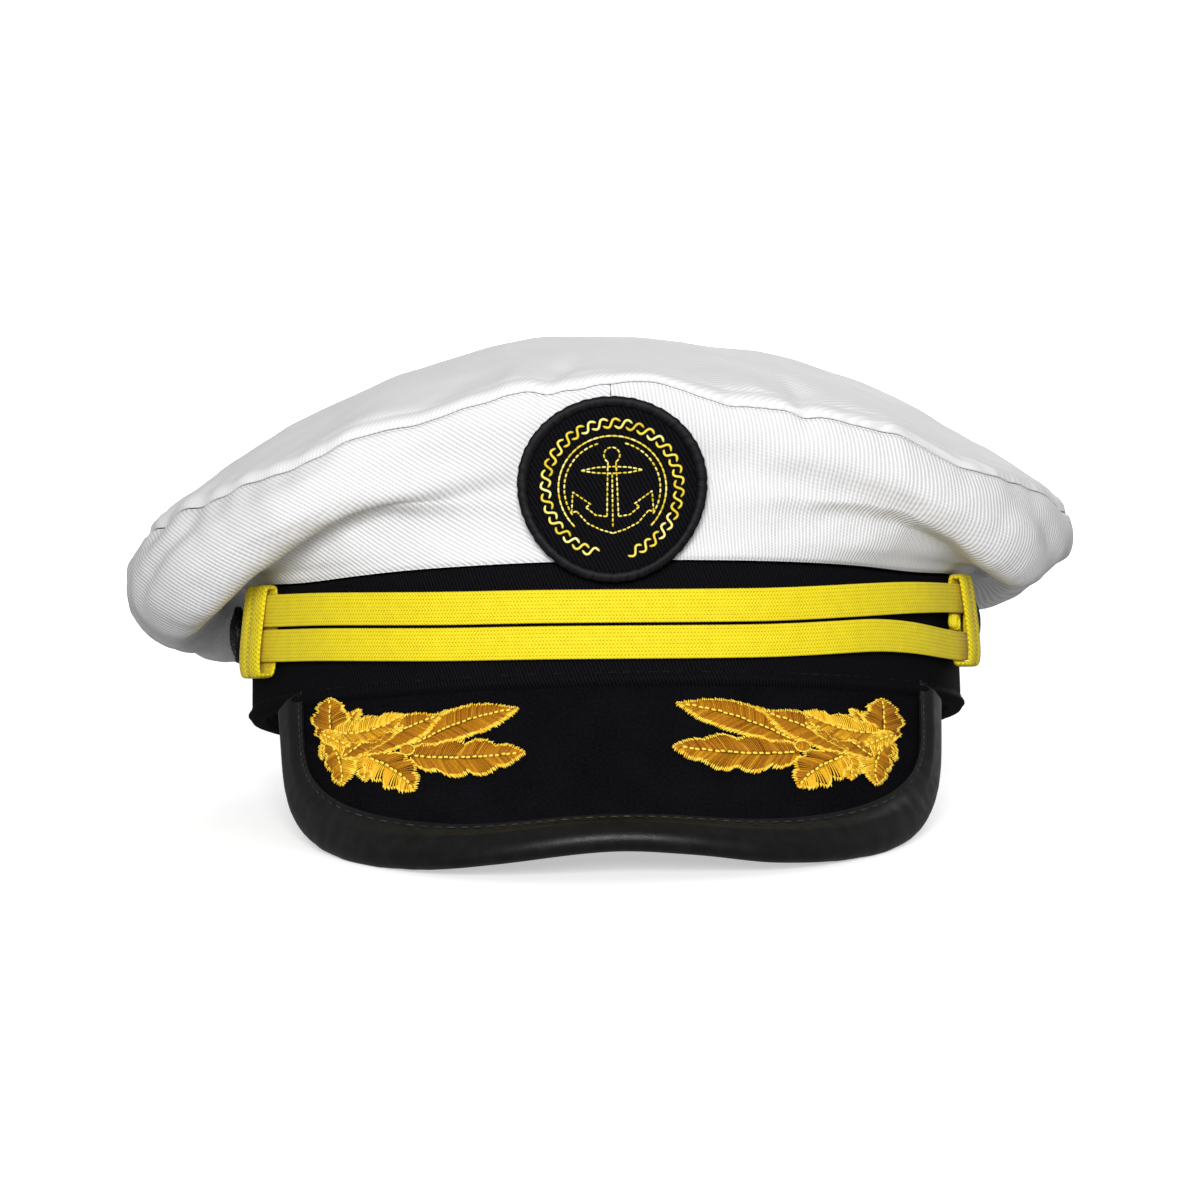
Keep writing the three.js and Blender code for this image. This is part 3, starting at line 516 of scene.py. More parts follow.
def leatherette(name):
    look = Look(name, (0.006, 0.006, 0.006), 0.42, Specular_IOR_Level=0.22)
    where = look.place()
    cells = look.node("TexVoronoi", feature="DISTANCE_TO_EDGE")
    look.join(where, cells, "Vector")
    cells.inputs["Scale"].default_value = 1 / 0.9
    grain = look.math("MINIMUM", cells.outputs["Distance"], 0.2)
    look.bump(look.noise(where, 6, 2), 0.12)
    look.bump(grain, 0.08)
    rough = look.math("MULTIPLY_ADD", look.noise(where, 3, 4), 0.2, 0.34)
    look.join(rough, look.shader, "Roughness")
    look.color(look.noise(where, 4, 4), [(0.3, (0.002, 0.002, 0.002)), (0.8, (0.007, 0.007, 0.007))])
    return look.material, "black_leatherette"


def yellow_braid(name, row, pitch):
    """Flat braid: rows of slanted yarns that change direction from row to row; the grooves between the rows are
    darkened with painted shade.
    """
    look = Look(name, (0.80, 0.64, 0.008), 0.6, Sheen_Weight=0.05, Specular_IOR_Level=0.15)
    along, across, _ = look.split(look.uv())
    fold = look.math("PINGPONG", across, row)
    slant = look.math("MULTIPLY_ADD", fold, 0.85, along)
    yarn = look.math("SINE", look.math("MULTIPLY", slant, TURN / pitch))
    yarn = look.math("MULTIPLY_ADD", yarn, 0.5, 0.5)
    middle = look.math("ABSOLUTE", look.math("MULTIPLY_ADD", fold, 2 / row, -1))
    # painted shade: the colour darkens towards the grooves between the rows
    painted_groove_shade = look.math("POWER", middle, 5)
    uneven = look.noise(look.uv(), 3, 3)
    shade = look.math("MULTIPLY_ADD", uneven, 0.3, look.math("MULTIPLY", yarn, 0.5))
    shade = look.math("MULTIPLY_ADD", painted_groove_shade, -0.35, look.math("ADD", shade, 0.25))
    yellows = [(0.05, (0.42, 0.28, 0.002)), (0.5, (0.78, 0.62, 0.007)), (0.95, (0.93, 0.80, 0.025))]
    look.color(shade, yellows)
    look.bump(shade, 0.16)
    return look.material, "yellow_braid"


def thread(name, slot, colors, roughness, gloss):
    """Embroidery thread; tone runs through the colours, from the first to the last."""
    look = Look(name, colors[-1], roughness, Specular_IOR_Level=gloss)
    where = look.place()
    uneven = look.noise(where, 0.6, 3)
    shade = look.math("MULTIPLY_ADD", uneven, 0.24, look.math("MULTIPLY", look.tone(), 0.76))
    look.color(shade, [(0.12 + 0.8 * i / (len(colors) - 1), color) for i, color in enumerate(colors)])
    look.bump(look.noise(where, 0.15, 2), 0.03)
    return look.material, slot


def satin_lining(name):
    look = Look(name, (0.02, 0.02, 0.025), 0.45, Sheen_Weight=0.2)
    cloth = look.uv()
    look.color(look.noise(cloth, 6, 4), [(0.3, (0.012, 0.012, 0.015)), (0.8, (0.03, 0.03, 0.035))])
    look.bump(look.lines(cloth, 0, 0.4), 0.04)
    look.bump(look.noise(cloth, 9, 3), 0.8)
    return look.material, "lining"


def buckram(name):
    look = Look(name, (0.55, 0.52, 0.44), 0.9)
    cloth = look.uv()
    net = look.math("MULTIPLY", look.lines(cloth, 0, 1.1), look.lines(cloth, 90, 1.1))
    look.color(net, [(0.1, (0.35, 0.32, 0.26)), (0.8, (0.62, 0.59, 0.50))])
    look.bump(net, 0.3)
    return look.material, "buckram"


def moulded_plastic(name, color):
    look = Look(name, color, 0.38, Specular_IOR_Level=0.5)
    where = look.place()
    look.bump(look.noise(where, 0.6, 4), 0.03)
    rough = look.math("MULTIPLY_ADD", look.noise(where, 4, 3), 0.2, 0.3)
    look.join(rough, look.shader, "Roughness")
    return look.material


def woven_label(name):
    look = Look(name, (0.85, 0.85, 0.83), 0.7)
    cloth = look.uv()
    look.bump(look.lines(cloth, 0, 0.5), 0.06)
    look.color(look.lines(cloth, 90, 0.5), [(0, (0.72, 0.72, 0.70)), (1, (0.88, 0.88, 0.86))])
    return look.material, "label"


def plated_steel(name):
    look = Look(name, (0.55, 0.55, 0.56), 0.3, Metallic=1.0)
    look.bump(look.noise(look.place(), 0.3, 3), 0.02)
    return look.material


# ---- head surfaces
def on_band(angle, off, z):
    """Point off mm outside the band's outline: a half circle in front, half an ellipse behind."""
    depth = np.where(np.cos(angle) > 0, BAND_RADIUS, BAND_BACK)
    x = (BAND_RADIUS + off) * np.sin(angle)
    y = -(depth + off) * np.cos(angle)
    return np.stack(np.broadcast_arrays(x, y, z), -1)


def radial(angle):
    """Outward direction of the band's outline."""
    return on_band(angle, 1, 0) - on_band(angle, 0, 0)


def front_share(angle, turn):
    """1 in front, 0 past the sides; turn says between which two angles, in degrees, it changes."""
    low, high = np.radians(turn)
    return 1 - smooth(low, high, np.abs(angle))


def band_top(angle):
    return mix(BAND_HEIGHT_SIDE, BAND_HEIGHT_FRONT, front_share(angle, PROFILE_TURN[0]))


def band_bottom(angle):
    reach = np.minimum((math.pi - np.abs(angle)) / ARCH_HALF, 1)
    return ARCH_HEIGHT * (1 - reach**ARCH_POWER) ** (1 / ARCH_POWER)


def spline(knots, u):
    """Uniform Catmull-Rom curve through knots (... x count x 2), at u (...) from 0 to 1."""
    count = knots.shape[-2]
    x = np.clip(u, 0, 1) * (count - 1)
    i = np.minimum(x.astype(int), count - 2)
    t = (x - i)[..., None]

    def knot(k):
        k = np.clip(k, 0, count - 1)
        return np.take_along_axis(knots, k[..., None, None], -2)[..., 0, :]

    p0, p1, p2, p3 = knot(i - 1), knot(i), knot(i + 1), knot(i + 2)
    v0, v1 = (p2 - p0) / 2, (p3 - p1) / 2
    return (2 * p1 - 2 * p2 + v0 + v1) * t**3 + (3 * p2 - 3 * p1 - 2 * v0 - v1) * t**2 + v0 * t + p1


def crown_section(angle, u):
    """(off, height) of the crown's side; angle and u are arrays of one shape."""
    at_back = np.maximum(-np.cos(angle), 0) ** 2
    left = angle < 0
    knots = []
    for i, turn in enumerate(PROFILE_TURN):
        side = np.where(left[..., None], LEFT_PROFILE[i], RIGHT_PROFILE[i])
        at_front = front_share(angle, turn)[..., None]
        back = at_back[..., None]
        front = np.array(FRONT_PROFILE[i])
        knots.append(front * at_front + np.array(BACK_PROFILE[i]) * back + side * (1 - at_front - back))
    return spline(np.stack(knots, -2), u)


def on_crown(angle, u):
    """Point of the crown before its creases: u runs up the side to the edge seam at 1, then over the
    top to the apex at 2."""
    angle, u = np.broadcast_arrays(np.asarray(angle, float), np.asarray(u, float))
    section = crown_section(angle, np.minimum(u, 1))
    side = on_band(angle, section[..., 0], section[..., 1])
    reach = np.clip(2 - u, 0, 1)[..., None]
    foot = side + [0, 0, SEAM_GAP]
    rise = (1 - reach**DOME_POWER) ** DOME_ROUND
    top = mix(APEX, foot, reach)
    top[..., 2:] = mix(foot[..., 2:], APEX[2], rise)
    return np.where((u > 1)[..., None], top, side)


# Places where the side is pulled out of its plain shape: (angle, half width) in degrees,
# (u, half width), and how far up and how far out, in mm
SAGS = [
    ((-46, 16), (0.5, 0.17), (11.0, 0.0)),
    ((45, 13), (0.5, 0.15), (4.5, 0.0)),
    ((70, 12), (0.55, 0.16), (-3.5, 0.0)),
    ((44, 22), (0.3, 0.2), (0.0, 5.0)),
    ((86, 13), (0.55, 0.2), (5.0, 0.0)),
    ((114, 18), (0.5, 0.2), (3.0, 0.0)),
]


def sagged(points, angle, u):
    """Moves points of the crown's side where it sags or bulges."""
    out = points.copy()
    outwards = radial(angle)
    for (middle, width), (level, height), (rise, bulge) in SAGS:
        share = bump_at(np.degrees(angle), middle, width) * bump_at(u, level, height)
        out += share[..., None] * (outwards * bulge + [0, 0, rise])
    return out


# Creases of the crown: path as (angle in degrees, u), half width, depth (negative for a ridge)
CREASES = [
    ([(-9, 0.93), (-8, 1.04), (-6, 1.22)], 3.2, 1.5),
    ([(-14, 0.96), (-15, 1.06), (-15, 1.18)], 3.5, -0.9),
    ([(26, 0.94), (28, 1.05), (30, 1.2)], 3.0, 1.5),
    ([(21, 0.97), (22, 1.07), (23, 1.16)], 3.0, -0.8),
    ([(-15, 0.52), (-30, 0.49), (-44, 0.43), (-57, 0.37)], 3.0, 1.9),
    ([(-17, 0.64), (-32, 0.60), (-48, 0.57), (-68, 0.56)], 4.5, -1.5),
    ([(14, 0.60), (30, 0.57), (46, 0.55)], 5.0, 1.3),
    ([(18, 0.74), (34, 0.70), (54, 0.68)], 5.5, -0.6),
    ([(-62, 0.90), (-68, 0.83), (-78, 0.70)], 3.4, 1.8),
    ([(-84, 0.89), (-90, 0.78), (-98, 0.62)], 4.5, 1.4),
    ([(60, 0.90), (66, 0.80), (76, 0.64)], 4.0, 1.3),
    ([(88, 0.90), (96, 0.78), (104, 0.60)], 4.5, 1.6),
    ([(-128, 1.0), (-124, 0.78), (-118, 0.58)], 5.0, 1.6),
    ([(-152, 0.98), (-156, 0.74), (-150, 0.5)], 5.0, 1.5),
    ([(128, 1.0), (133, 0.76), (140, 0.56)], 5.0, 1.8),
    ([(158, 0.98), (154, 0.72), (160, 0.5)], 4.5, 1.4),
    ([(-70, 1.02), (-66, 1.2), (-60, 1.42)], 5.5, 1.4),
    ([(74, 1.02), (68, 1.22), (60, 1.4)], 5.5, 1.3),
    ([(150, 1.04), (140, 1.3), (110, 1.55)], 7.0, 1.6),
    ([(-140, 1.04), (-128, 1.28), (-100, 1.5)], 7.0, 1.5),
]


def distance_to_path(points, path):
    """Distance from each point to a polyline, and how far along it the nearest place is, 0 to 1."""
    best = np.full(points.shape[:-1], 1e9)
    share = np.zeros(points.shape[:-1])
    for i in range(len(path) - 1):
        a, ab = path[i], path[i + 1] - path[i]
        t = np.clip(((points - a) @ ab) / (ab @ ab), 0, 1)
        far = np.linalg.norm(points - a - t[..., None] * ab, axis=-1)
        near = far < best
        best = np.where(near, far, best)
        share = np.where(near, (i + t) / (len(path) - 1), share)
    return best, share


def crease_paths():
    """Each crease as points along its path, half width and depth."""
    made = []
    even = np.linspace(0, 1, 14)
    for stops, width, depth in CREASES:
        stops = np.array(stops, float)
        line = spline(np.broadcast_to(stops, (len(even), *stops.shape)), even)
        angle, u = np.radians(line[:, 0]), line[:, 1]
        made.append((sagged(on_crown(angle, u), angle, u), width, depth))
    return made


CREASE_PATHS = crease_paths()
broad_waves = Waves(75)
middle_waves = Waves(30)
fine_waves = Waves(11)
pucker_waves = Waves(12)


def relief(points, u, seam_distance, panel_edge):
    """How far the cloth stands off the plain surface: soft waves, creases, and puckers at the seams.
    seam_distance is measured from the edge seam and panel_edge from the nearest upright seam, in mm."""
    free = smooth(0.02, 0.3, u)
    out = free * (0.9 * broad_waves(points) + 0.45 * middle_waves(points))
    out += 0.1 * free * fine_waves(points)
    near = np.exp(-np.abs(seam_distance) / 6.0)
    out += 0.4 * near * pucker_waves(points * [1, 1, 0.25])
    out += 0.25 * np.exp(-panel_edge / 4.0) * fine_waves(points * 1.6)
    for path, width, depth in CREASE_PATHS:
        away, share = distance_to_path(points, path)
        ends = np.sin(math.pi * np.clip(share * 0.86 + 0.07, 0, 1)) ** 0.8
        out -= depth * ends * bump_at(away, 0, width)
    return out


def normals(grid, closed=False):
    """Unit normals of a grid of points (rows go round, columns go up)."""
    if closed:
        padded = np.concatenate([grid[-1:], grid, grid[:1]])
        across = np.gradient(padded, axis=0)[1:-1]
    else:
        across = np.gradient(grid, axis=0)
    return unit(np.cross(across, np.gradient(grid, axis=1)))


def lengths(grid):
    """Running length along each row of a grid, in mm."""
    steps = np.linalg.norm(np.diff(grid, axis=1), axis=-1)
    return np.concatenate([np.zeros((len(grid), 1)), np.cumsum(steps, 1)], 1)


SEAM_ANGLES = [-math.pi, -math.pi / 2, 0, math.pi / 2, math.pi]


def edge_distance(angle):
    """Distance round the crown to the nearest upright seam, in mm."""
    return np.min([np.abs(angle - seam) * CROWN_RADIUS for seam in SEAM_ANGLES], axis=0)


def seam_wander(angle):
    """The edge seam isn't straight: it rises and sinks a little on its way round."""
    return 0.7 * np.sin(11 * angle + 1.1) + 0.4 * np.sin(19 * angle) + 0.15 * np.sin(34 * angle + 2)


def to_seam(points, angle, rise, move):
    """Moves a panel's points by move; near the edge seam they go with the seam instead, and roll into
    it, so that the side and the top meet all the way round. rise is how far the panel starts above
    the side's end, in mm. Returns the points and their distance from the seam."""
    ring = angle[:, 0]
    line = on_crown(ring, np.ones_like(ring))
    lean = unit(radial(ring) + [0, 0, 1])[:, None]
    push = relief(line, np.ones_like(ring), np.zeros_like(ring), edge_distance(ring))
    away = np.linalg.norm(points - line[:, None] - [0, 0, rise], axis=-1)
    with_seam = bump_at(away, 0, 6)[..., None]
    roll = SEAM_DEPTH * bump_at(away, 0, SEAM_ROLL)[..., None] * lean
    out = points + mix(move, push[:, None, None] * lean, with_seam) - roll
    out[..., 2] += seam_wander(angle) * np.exp(-away / 10)
    out[..., 2] -= max(rise - SEAM_SLIT, 0) * np.exp(-away / 4)
    return out, away


def side_cloth(angles, us):
    """Grid of the side's outer face, creases included, with its normals and its running length."""
    angle, u = np.meshgrid(angles, us, indexing="ij")
    base = sagged(on_crown(angle, u), angle, u)
    up = lengths(base)
    edge = edge_distance(angle)
    face = normals(base)
    seam = on_crown(angles, np.ones_like(angles))
    out = relief(base, u, np.linalg.norm(base - seam[:, None], axis=-1), edge)
    out -= 0.9 * bump_at(edge, 0, 0.8) - 0.25 * bump_at(edge, 2.0, 1.2)
    out -= 0.5 * bump_at(up, 0, 0.8)
    grid, _ = to_seam(base, angle, 0, face * out[..., None])
    return grid, face, up


def crown_quarter(name, start, end, twill, node):
    """Side panel between two upright seams; its mesh is finer towards the edge seam."""
    us = 1 - np.linspace(1, 0, 90) ** 1.4
    gap = 0.1 / BAND_RADIUS
    angles = mix(start + gap, end - gap, np.linspace(0, 1, 121))
    outer, face, _ = side_cloth(angles, us)
    points, faces = shell(outer, outer - face * CLOTH)
    off = np.hypot(outer[..., 0], outer[..., 1]) - BAND_RADIUS
    uv = both_faces(angles[:, None] * CROWN_RADIUS, outer[..., 2] - 0.35 * off)
    new_piece(name, points, faces, twill, uv=uv, node=node)


def crown_top(twill):
    """Top panel: its underside runs out to the rim and its face comes back to the apex."""
    angles = ring_angles(480)
    reach = 1 - np.linspace(0, 1, 96) ** 1.4 * 0.98
    angle, u = np.meshgrid(angles, 2 - reach, indexing="ij")
    base = on_crown(angle, np.maximum(u, 1 + 1e-6))
    face = normals(base, closed=True)
    from_rim = lengths(base)
    out = relief(base, u, from_rim, np.full_like(u, 60)) * smooth(2.0, 1.55, u)
    out += 0.55 * bump_at(from_rim, 2.4, 1.1) - 0.35 * bump_at(from_rim, 4.6, 1.0)
    grid, away = to_seam(base, angle, SEAM_GAP, face * out[..., None])
    thick = mix(SEAM_SLIT - 0.1, CLOTH, smooth(0, 3, away))[..., None]
    under = (grid - face * thick)[:, ::3]
    rings = np.concatenate([under.transpose(1, 0, 2)[::-1], grid.transpose(1, 0, 2)])
    points, faces = loft(rings)
    new_piece("crown_top_cloth", points, faces, twill, uv=points[:, :2], node="crown_top_panel")


def hidden_strip(name, angles, us, depths, look, node, closed=False):
    """A layer behind the crown's side that follows its creases, between two depths in mm."""
    outer, face, up = side_cloth(angles, us)
    near, far = (outer - face * depth for depth in depths)
    points, faces = shell(near, far, closed=closed)
    uv = both_faces(angles[:, None] * BAND_RADIUS, up)
    new_piece(name, points, faces, look, uv=uv, node=node)


# Side panels: name, start in quarter turns from the front, slope of the twill in degrees
CROWN_QUARTERS = [
    ("front_left", -1, -28), ("front_right", 0, -80), ("back_right", 1, -28), ("back_left", -2, -80),
]


def build_crown():
    quarter = math.pi / 2
    for word, turn, slope in CROWN_QUARTERS:
        start = turn * quarter
        twill = white_twill("twill_" + word, slope)
        crown_quarter("crown_cloth_" + word, start, start + quarter, twill, "crown_" + word)
    crown_top(white_twill("twill_top", 35, 0.35))
    tape_us, tape = np.linspace(0.93, 0.985, 5), white_twill("twill_tape", 45)
    node = "crown_edge_seam_tape"
    hidden_strip("edge_seam_tape", ring_angles(180), tape_us, (1.5, 2.0), tape, node, closed=True)
    stay, stay_us = np.linspace(-0.35, 0.35, 40), np.linspace(0.3, 0.9, 24)
    hidden_strip("front_stay_net", stay, stay_us, (1.9, 2.7), buckram("buckram_stay"), "front_stay")


# ---- band and sweatband
def strip(name, angles, section, look, node, closed=True):
    """Strip round the head: section(angle) gives the closed ring of (off, z) points, face by face."""
    rings = []
    for angle in angles:
        ring = np.array(section(angle), float)
        rings.append(on_band(np.full(len(ring), angle), ring[:, 0], ring[:, 1]))
    rings = np.array(rings)
    points, faces = loft(rings, closed=closed)
    ring_length = np.linalg.norm(np.diff(rings, axis=1), axis=-1).cumsum(1)
    v = np.concatenate([np.zeros((len(rings), 1)), ring_length], 1)
    u = np.broadcast_to(np.asarray(angles)[:, None] * BAND_RADIUS, v.shape)
    new_piece(name, points, faces, look, uv=np.stack([u, v], -1), node=node)


def arch_angles():
    """Angles round the band, closer together over the two sides of the back arch."""
    open_part = ring_angles(260, ARCH_HALF)[1:-1]
    side = np.sort(math.pi - ARCH_HALF * (1 - np.linspace(0, 1, 30) ** 2.2))
    return np.concatenate([open_part, side, -side[::-1][1:]])


# Heights of the band's face above its lower edge, close together over the roll and the stitches
ROLL_HEIGHTS = np.array([0.7, 1.1, 1.6, 2.1, 2.6, 3.1, 4.0])


def band_section(angle):
    """Outer face with soft waves, and a turned-in lower edge that thins out at the back arch."""
    low, high = float(band_bottom(angle)), float(band_top(angle))
    roll = float(smooth(ARCH_HALF, ARCH_HALF * 1.4, math.pi - abs(angle)))
    deep = mix(-1.0, -3.8, roll)
    drop = 1.3 * roll
    puff = 0.7 + 0.35 * float(smooth(50, 72, abs(math.degrees(angle))))
    face = []
    for z in np.concatenate([low + ROLL_HEIGHTS, np.linspace(low + 6, high - 0.3, 9)]):
        soft = 0.12 * math.sin(angle * 23 + z * 0.2) * math.sin(z / high * math.pi)
        welt = puff * float(bump_at(z - low, 0.9, 1.2)) - 0.2 * float(bump_at(z - low, 2.6, 0.6))
        face.append((soft + welt * roll, z))
    turned = [
        (deep + 0.4, low + 2.6 * roll + 0.3),
        (deep, low + 1.6 * roll + 0.2),
        (deep + 0.1 * roll, low + 0.4 * roll),
        (mix(deep, 0, 0.25), low - drop * 0.7),
        (mix(deep, 0, 0.6), low - drop),
        (mix(deep, 0, 0.9) + 0.3 * puff * roll, low - drop * 0.6),
        (0.6 * puff * roll, low + 0.3),
    ]
    back = [(-1.0, z) for z in np.linspace(high, low + 2.7 * roll + 0.5, 7)]
    return turned + face + [(-0.3, high)] + back + [(-1.0, low + 2.65 * roll + 0.45)]


def arch_edge(turned):
    """The back arch's edge as (arc, height) from its middle: turned runs from 0 to pi."""
    cos, sin = np.cos(turned), np.sin(turned)
    arc = bulging(cos, 2 / ARCH_POWER) * ARCH_HALF * BAND_BACK
    return np.stack([arc, ARCH_HEIGHT * sin ** (2 / ARCH_POWER)], -1)


def build_arch_tape():
    """Tape folded over the edge of the back arch."""
    turned = math.pi * (0.5 - 0.5 * np.cos(np.linspace(0.12, math.pi - 0.12, 240)))
    here = arch_edge(turned)
    ahead = unit(arch_edge(turned + 1e-3) - arch_edge(turned - 1e-3))
    outwards = np.stack([ahead[:, 1], -ahead[:, 0]], -1)

    def on_arch(off, away):
        arc, z = np.moveaxis(here[:, None] + outwards[:, None] * np.asarray(away)[:, None], -1, 0)
        return on_band(wrapped(math.pi - arc / BAND_BACK), np.broadcast_to(off, arc.shape), z)

    far, near = ARCH_TAPE_LAYER
    fold = np.linspace(0, math.pi, 9)
    reach = ARCH_TAPE_WIDTH * np.array([1, 0.8, 0.6, 0.3, 0])
    outer = np.concatenate([np.full(5, near), mix(far, near, 0.5 + 0.5 * np.cos(fold)), np.full(5, far)])
    away = np.concatenate([reach, -0.3 - 0.6 * np.sin(fold), reach[::-1]])
    inner = np.clip(outer[::-1], far + ARCH_TAPE_CLOTH, near - ARCH_TAPE_CLOTH)
    inner_away = np.maximum(away[::-1], -0.25)
    points, faces = loft(on_arch(np.concatenate([outer, inner]), np.concatenate([away, inner_away])))
    uv = np.stack(np.broadcast_arrays(here[:, :1], np.concatenate([away, away[::-1]])), -1)
    twill = black_twill("twill_arch_tape", 40)
    new_piece("arch_tape_cloth", points, faces, twill, uv=uv, node="back_arch_tape")


def build_topstitch():
    """Stitches along the band just above its roll: short threads that follow its face."""
    pitch, half_length, height = 3.4, 1.25, 0.2
    reach = math.pi - ARCH_HALF * 1.25
    middle = np.arange(-reach, reach, pitch / BAND_RADIUS)
    t = np.linspace(-1, 1, 6)
    angle = middle[:, None] + t * half_length / BAND_RADIUS
    paths = on_band(angle, TOPSTITCH_OFF + height * 0.4 * (1 - t**4), TOPSTITCH_Z)
    ups = unit(np.stack([np.sin(angle), -np.cos(angle), np.zeros_like(angle)], -1))
    blacks = [(0.002, 0.002, 0.002), (0.009, 0.009, 0.010)]
    black_thread = thread("thread_black", "black_twill", blacks, 0.7, 0.05)
    tones = random.uniform(0.2, 1, len(middle))
    thread_piece("band_topstitch", [(paths, ups, 0.26, tones)], black_thread, height, 0.35)


def layer_section(layer, low, high):
    """Section of a plain layer between two offs and two heights, which are functions of the angle."""
    inner, outer = layer

    def section(angle):
        bottom, top = low(angle), high(angle)
        middle = mix(bottom, top, 0.5)
        return [
            (inner, bottom), (outer, bottom), (outer, middle),
            (outer, top), (inner, top), (inner, middle),
        ]

    return section


def sweat_section(angle):
    """Section of the sweatband: a soft inner face and a turned-over upper edge."""
    high = float(band_top(angle)) - 4.5
    wave = 0.25 * math.sin(angle * 17) + 0.15 * math.sin(angle * 31)
    up = np.linspace(0, 1, 10)
    inner = [(-5.0 + wave * math.sin(math.pi * s), mix(0.2, high, s)) for s in up]
    outer = [(-4.1, mix(0.2, high, s)) for s in up[::-1]]
    return inner + [(-4.6, high + 0.5)] + outer + [(-4.5, -0.3)]


def build_band_layers():
    """Everything sewn behind the band: stiffener, seam tape, sweatband and label."""
    stiffener = layer_section((-2.2, -1.3), lambda a: 1.2, lambda a: band_top(a) - 1)
    net = buckram("buckram_band")
    strip("stiffener_net", ring_angles(200, OPEN_BACK), stiffener, net, "band_stiffener", False)
    tape = layer_section((-3.1, -2.6), lambda a: band_top(a) - 3, lambda a: band_top(a) + 3)
    black = black_twill("twill_tape_black", 0)
    strip("seam_tape_cloth", ring_angles(200), tape, black, "band_seam_tape")
    sweat = black_twill("twill_sweatband", 35, 1.1)
    strip("sweatband_cloth", ring_angles(240, OPEN_BACK), sweat_section, sweat, "sweatband", False)
    label = layer_section((-5.9, -5.45), lambda a: 7, lambda a: 21)
    woven = woven_label("label_cloth")
    strip("label_cloth", np.linspace(2.1, 2.27, 10), label, woven, "blank_label", False)


def lining_reach(angle):
    """Height where the lining's side meets its top."""
    return float(crown_section(np.array([angle]), np.array([1.0]))[0, 1]) - 9


def build_lining():
    """Side of the lining, and its top, which hangs in soft folds under the crown's."""
    lining = satin_lining("lining_satin")
    side = layer_section((-2.3, -1.7), lambda a: band_top(a) + 1, lining_reach)
    strip("lining_side_cloth", ring_angles(200), side, lining, "lining_side")
    angles = ring_angles(180)
    high = np.array([lining_reach(a) for a in angles]) + 0.9
    foot = on_band(angles, -1.7, high)
    waves = Waves(40)
    loops = []
    for reach in np.linspace(0.03, 1, 40):
        loop = mix(APEX, foot, reach)
        loop[:, 2] = mix(foot[:, 2], APEX[2] - 9, 1 - reach**2)
        loop[:, 2] -= 1.5 * (1 + waves(loop)) * math.sin(math.pi * reach)
        loops.append(loop)
    loops = np.array(loops)
    points, faces = loft(np.concatenate([loops - [0, 0, 0.6], loops[::-1]]))
    new_piece("lining_top_cloth", points, faces, lining, uv=points[:, :2], node="lining_top")


def build_band():
    strip("band_cloth", arch_angles(), band_section, black_twill("twill_band", -70), "hat_band")
    build_topstitch()
    build_arch_tape()
    build_band_layers()
    build_lining()


# ---- peak
def peak_sheet(across, down):
    """Point of the peak's middle sheet: across from -1 to 1, down in mm from the band."""
    angle = np.arcsin(across * math.sin(PEAK_HALF_ANGLE))
    slope = PEAK_SLOPE + PEAK_SIDE_SLOPE * (angle / PEAK_HALF_ANGLE) ** 2
    root = on_band(angle, PEAK_ROOT[0], PEAK_ROOT[1])
    ray = np.stack(np.broadcast_arrays(-PEAK_CLOSING * across, -np.cos(slope), -np.sin(slope)), -1)
    return root + unit(ray) * np.asarray(down)[..., None]


def peak_normal(across, down):
    step = 1e-3
    sideways = peak_sheet(across + step, down) - peak_sheet(across - step, down)
    downwards = peak_sheet(across, down + step) - peak_sheet(across, down - step)
    return unit(np.cross(downwards, sideways))


def peak_point(across, down, height):
    across, down, height = np.broadcast_arrays(*(np.asarray(v, float) for v in (across, down, height)))
    return peak_sheet(across, down) + peak_normal(across, down) * height[..., None]


def peak_reach(across):
    """Length of the peak before its corners are rounded off: a little more beside the middle."""
    return PEAK_LENGTH * (1 + PEAK_CORNER * np.sin(math.pi * across) ** 2)


def peak_cover(name, heights, look, node):
    inset = PEAK_COVER_INSET
    u = np.sin(np.linspace(-1, 1, 161) * math.pi / 2) * 0.985
    across = u * (1 - inset / PEAK_HALF_WIDTH)
    length = (peak_reach(across) - inset) * (1 - np.abs(u) ** PEAK_POWER) ** (1 / PEAK_POWER)
    down = mix(-PEAK_TUCK, length[:, None], np.linspace(0, 1, 60))
    across = np.broadcast_to(across[:, None], down.shape)
    waves = Waves(26)
    base = peak_point(across, down, 0)
    soft = 0.18 * waves(base) * smooth(0, 8, down)
    outer = peak_point(across, down, heights[0] + soft)
    inner = peak_point(across, down, heights[1])
    points, faces = shell(outer, inner)
    uv = both_faces(across * PEAK_HALF_WIDTH, -down)
    new_piece(name, points, faces, look, uv=uv, node=node)


def outline_point(turned):
    """(across, down) on the peak's outline: turned runs from 0 on one side to pi on the other."""
    cos, sin = np.cos(turned), np.sin(turned)
    radius = (np.abs(cos) ** PEAK_POWER + sin**PEAK_POWER) ** (-1 / PEAK_POWER)
    return radius * cos, peak_reach(radius * cos) * radius * sin


def outline_frame(turned):
    """Middle of the outline with its inward and upward directions."""
    here = peak_point(*outline_point(turned), 0)
    ahead = peak_point(*outline_point(turned + 1e-4), 0) - peak_point(*outline_point(turned - 1e-4), 0)
    up = peak_normal(*outline_point(turned))
    inward = unit(np.cross(unit(ahead), up))
    return here, inward, up


def binding_height(width):
    """Half section of the binding: a round edge, then flat, then pressed down to the cover."""
    edge = BINDING_HALF * np.sqrt(np.clip(1 - np.clip(1 - width / BINDING_HALF, 0, 1) ** 2, 0, 1))
    pressed = mix(1.0, 0.6, smooth(0.6 * BINDING_WIDTH, 0.92 * BINDING_WIDTH, width))
    return edge * pressed


def binding_inset(turned, width):
    """How far inside the outline the binding reaches: it sits wider along the peak's two sides."""
    side = np.abs(np.cos(turned)) ** 1.5
    return width * (1 + BINDING_SPREAD * side) - mix(*BINDING_OUT, side)


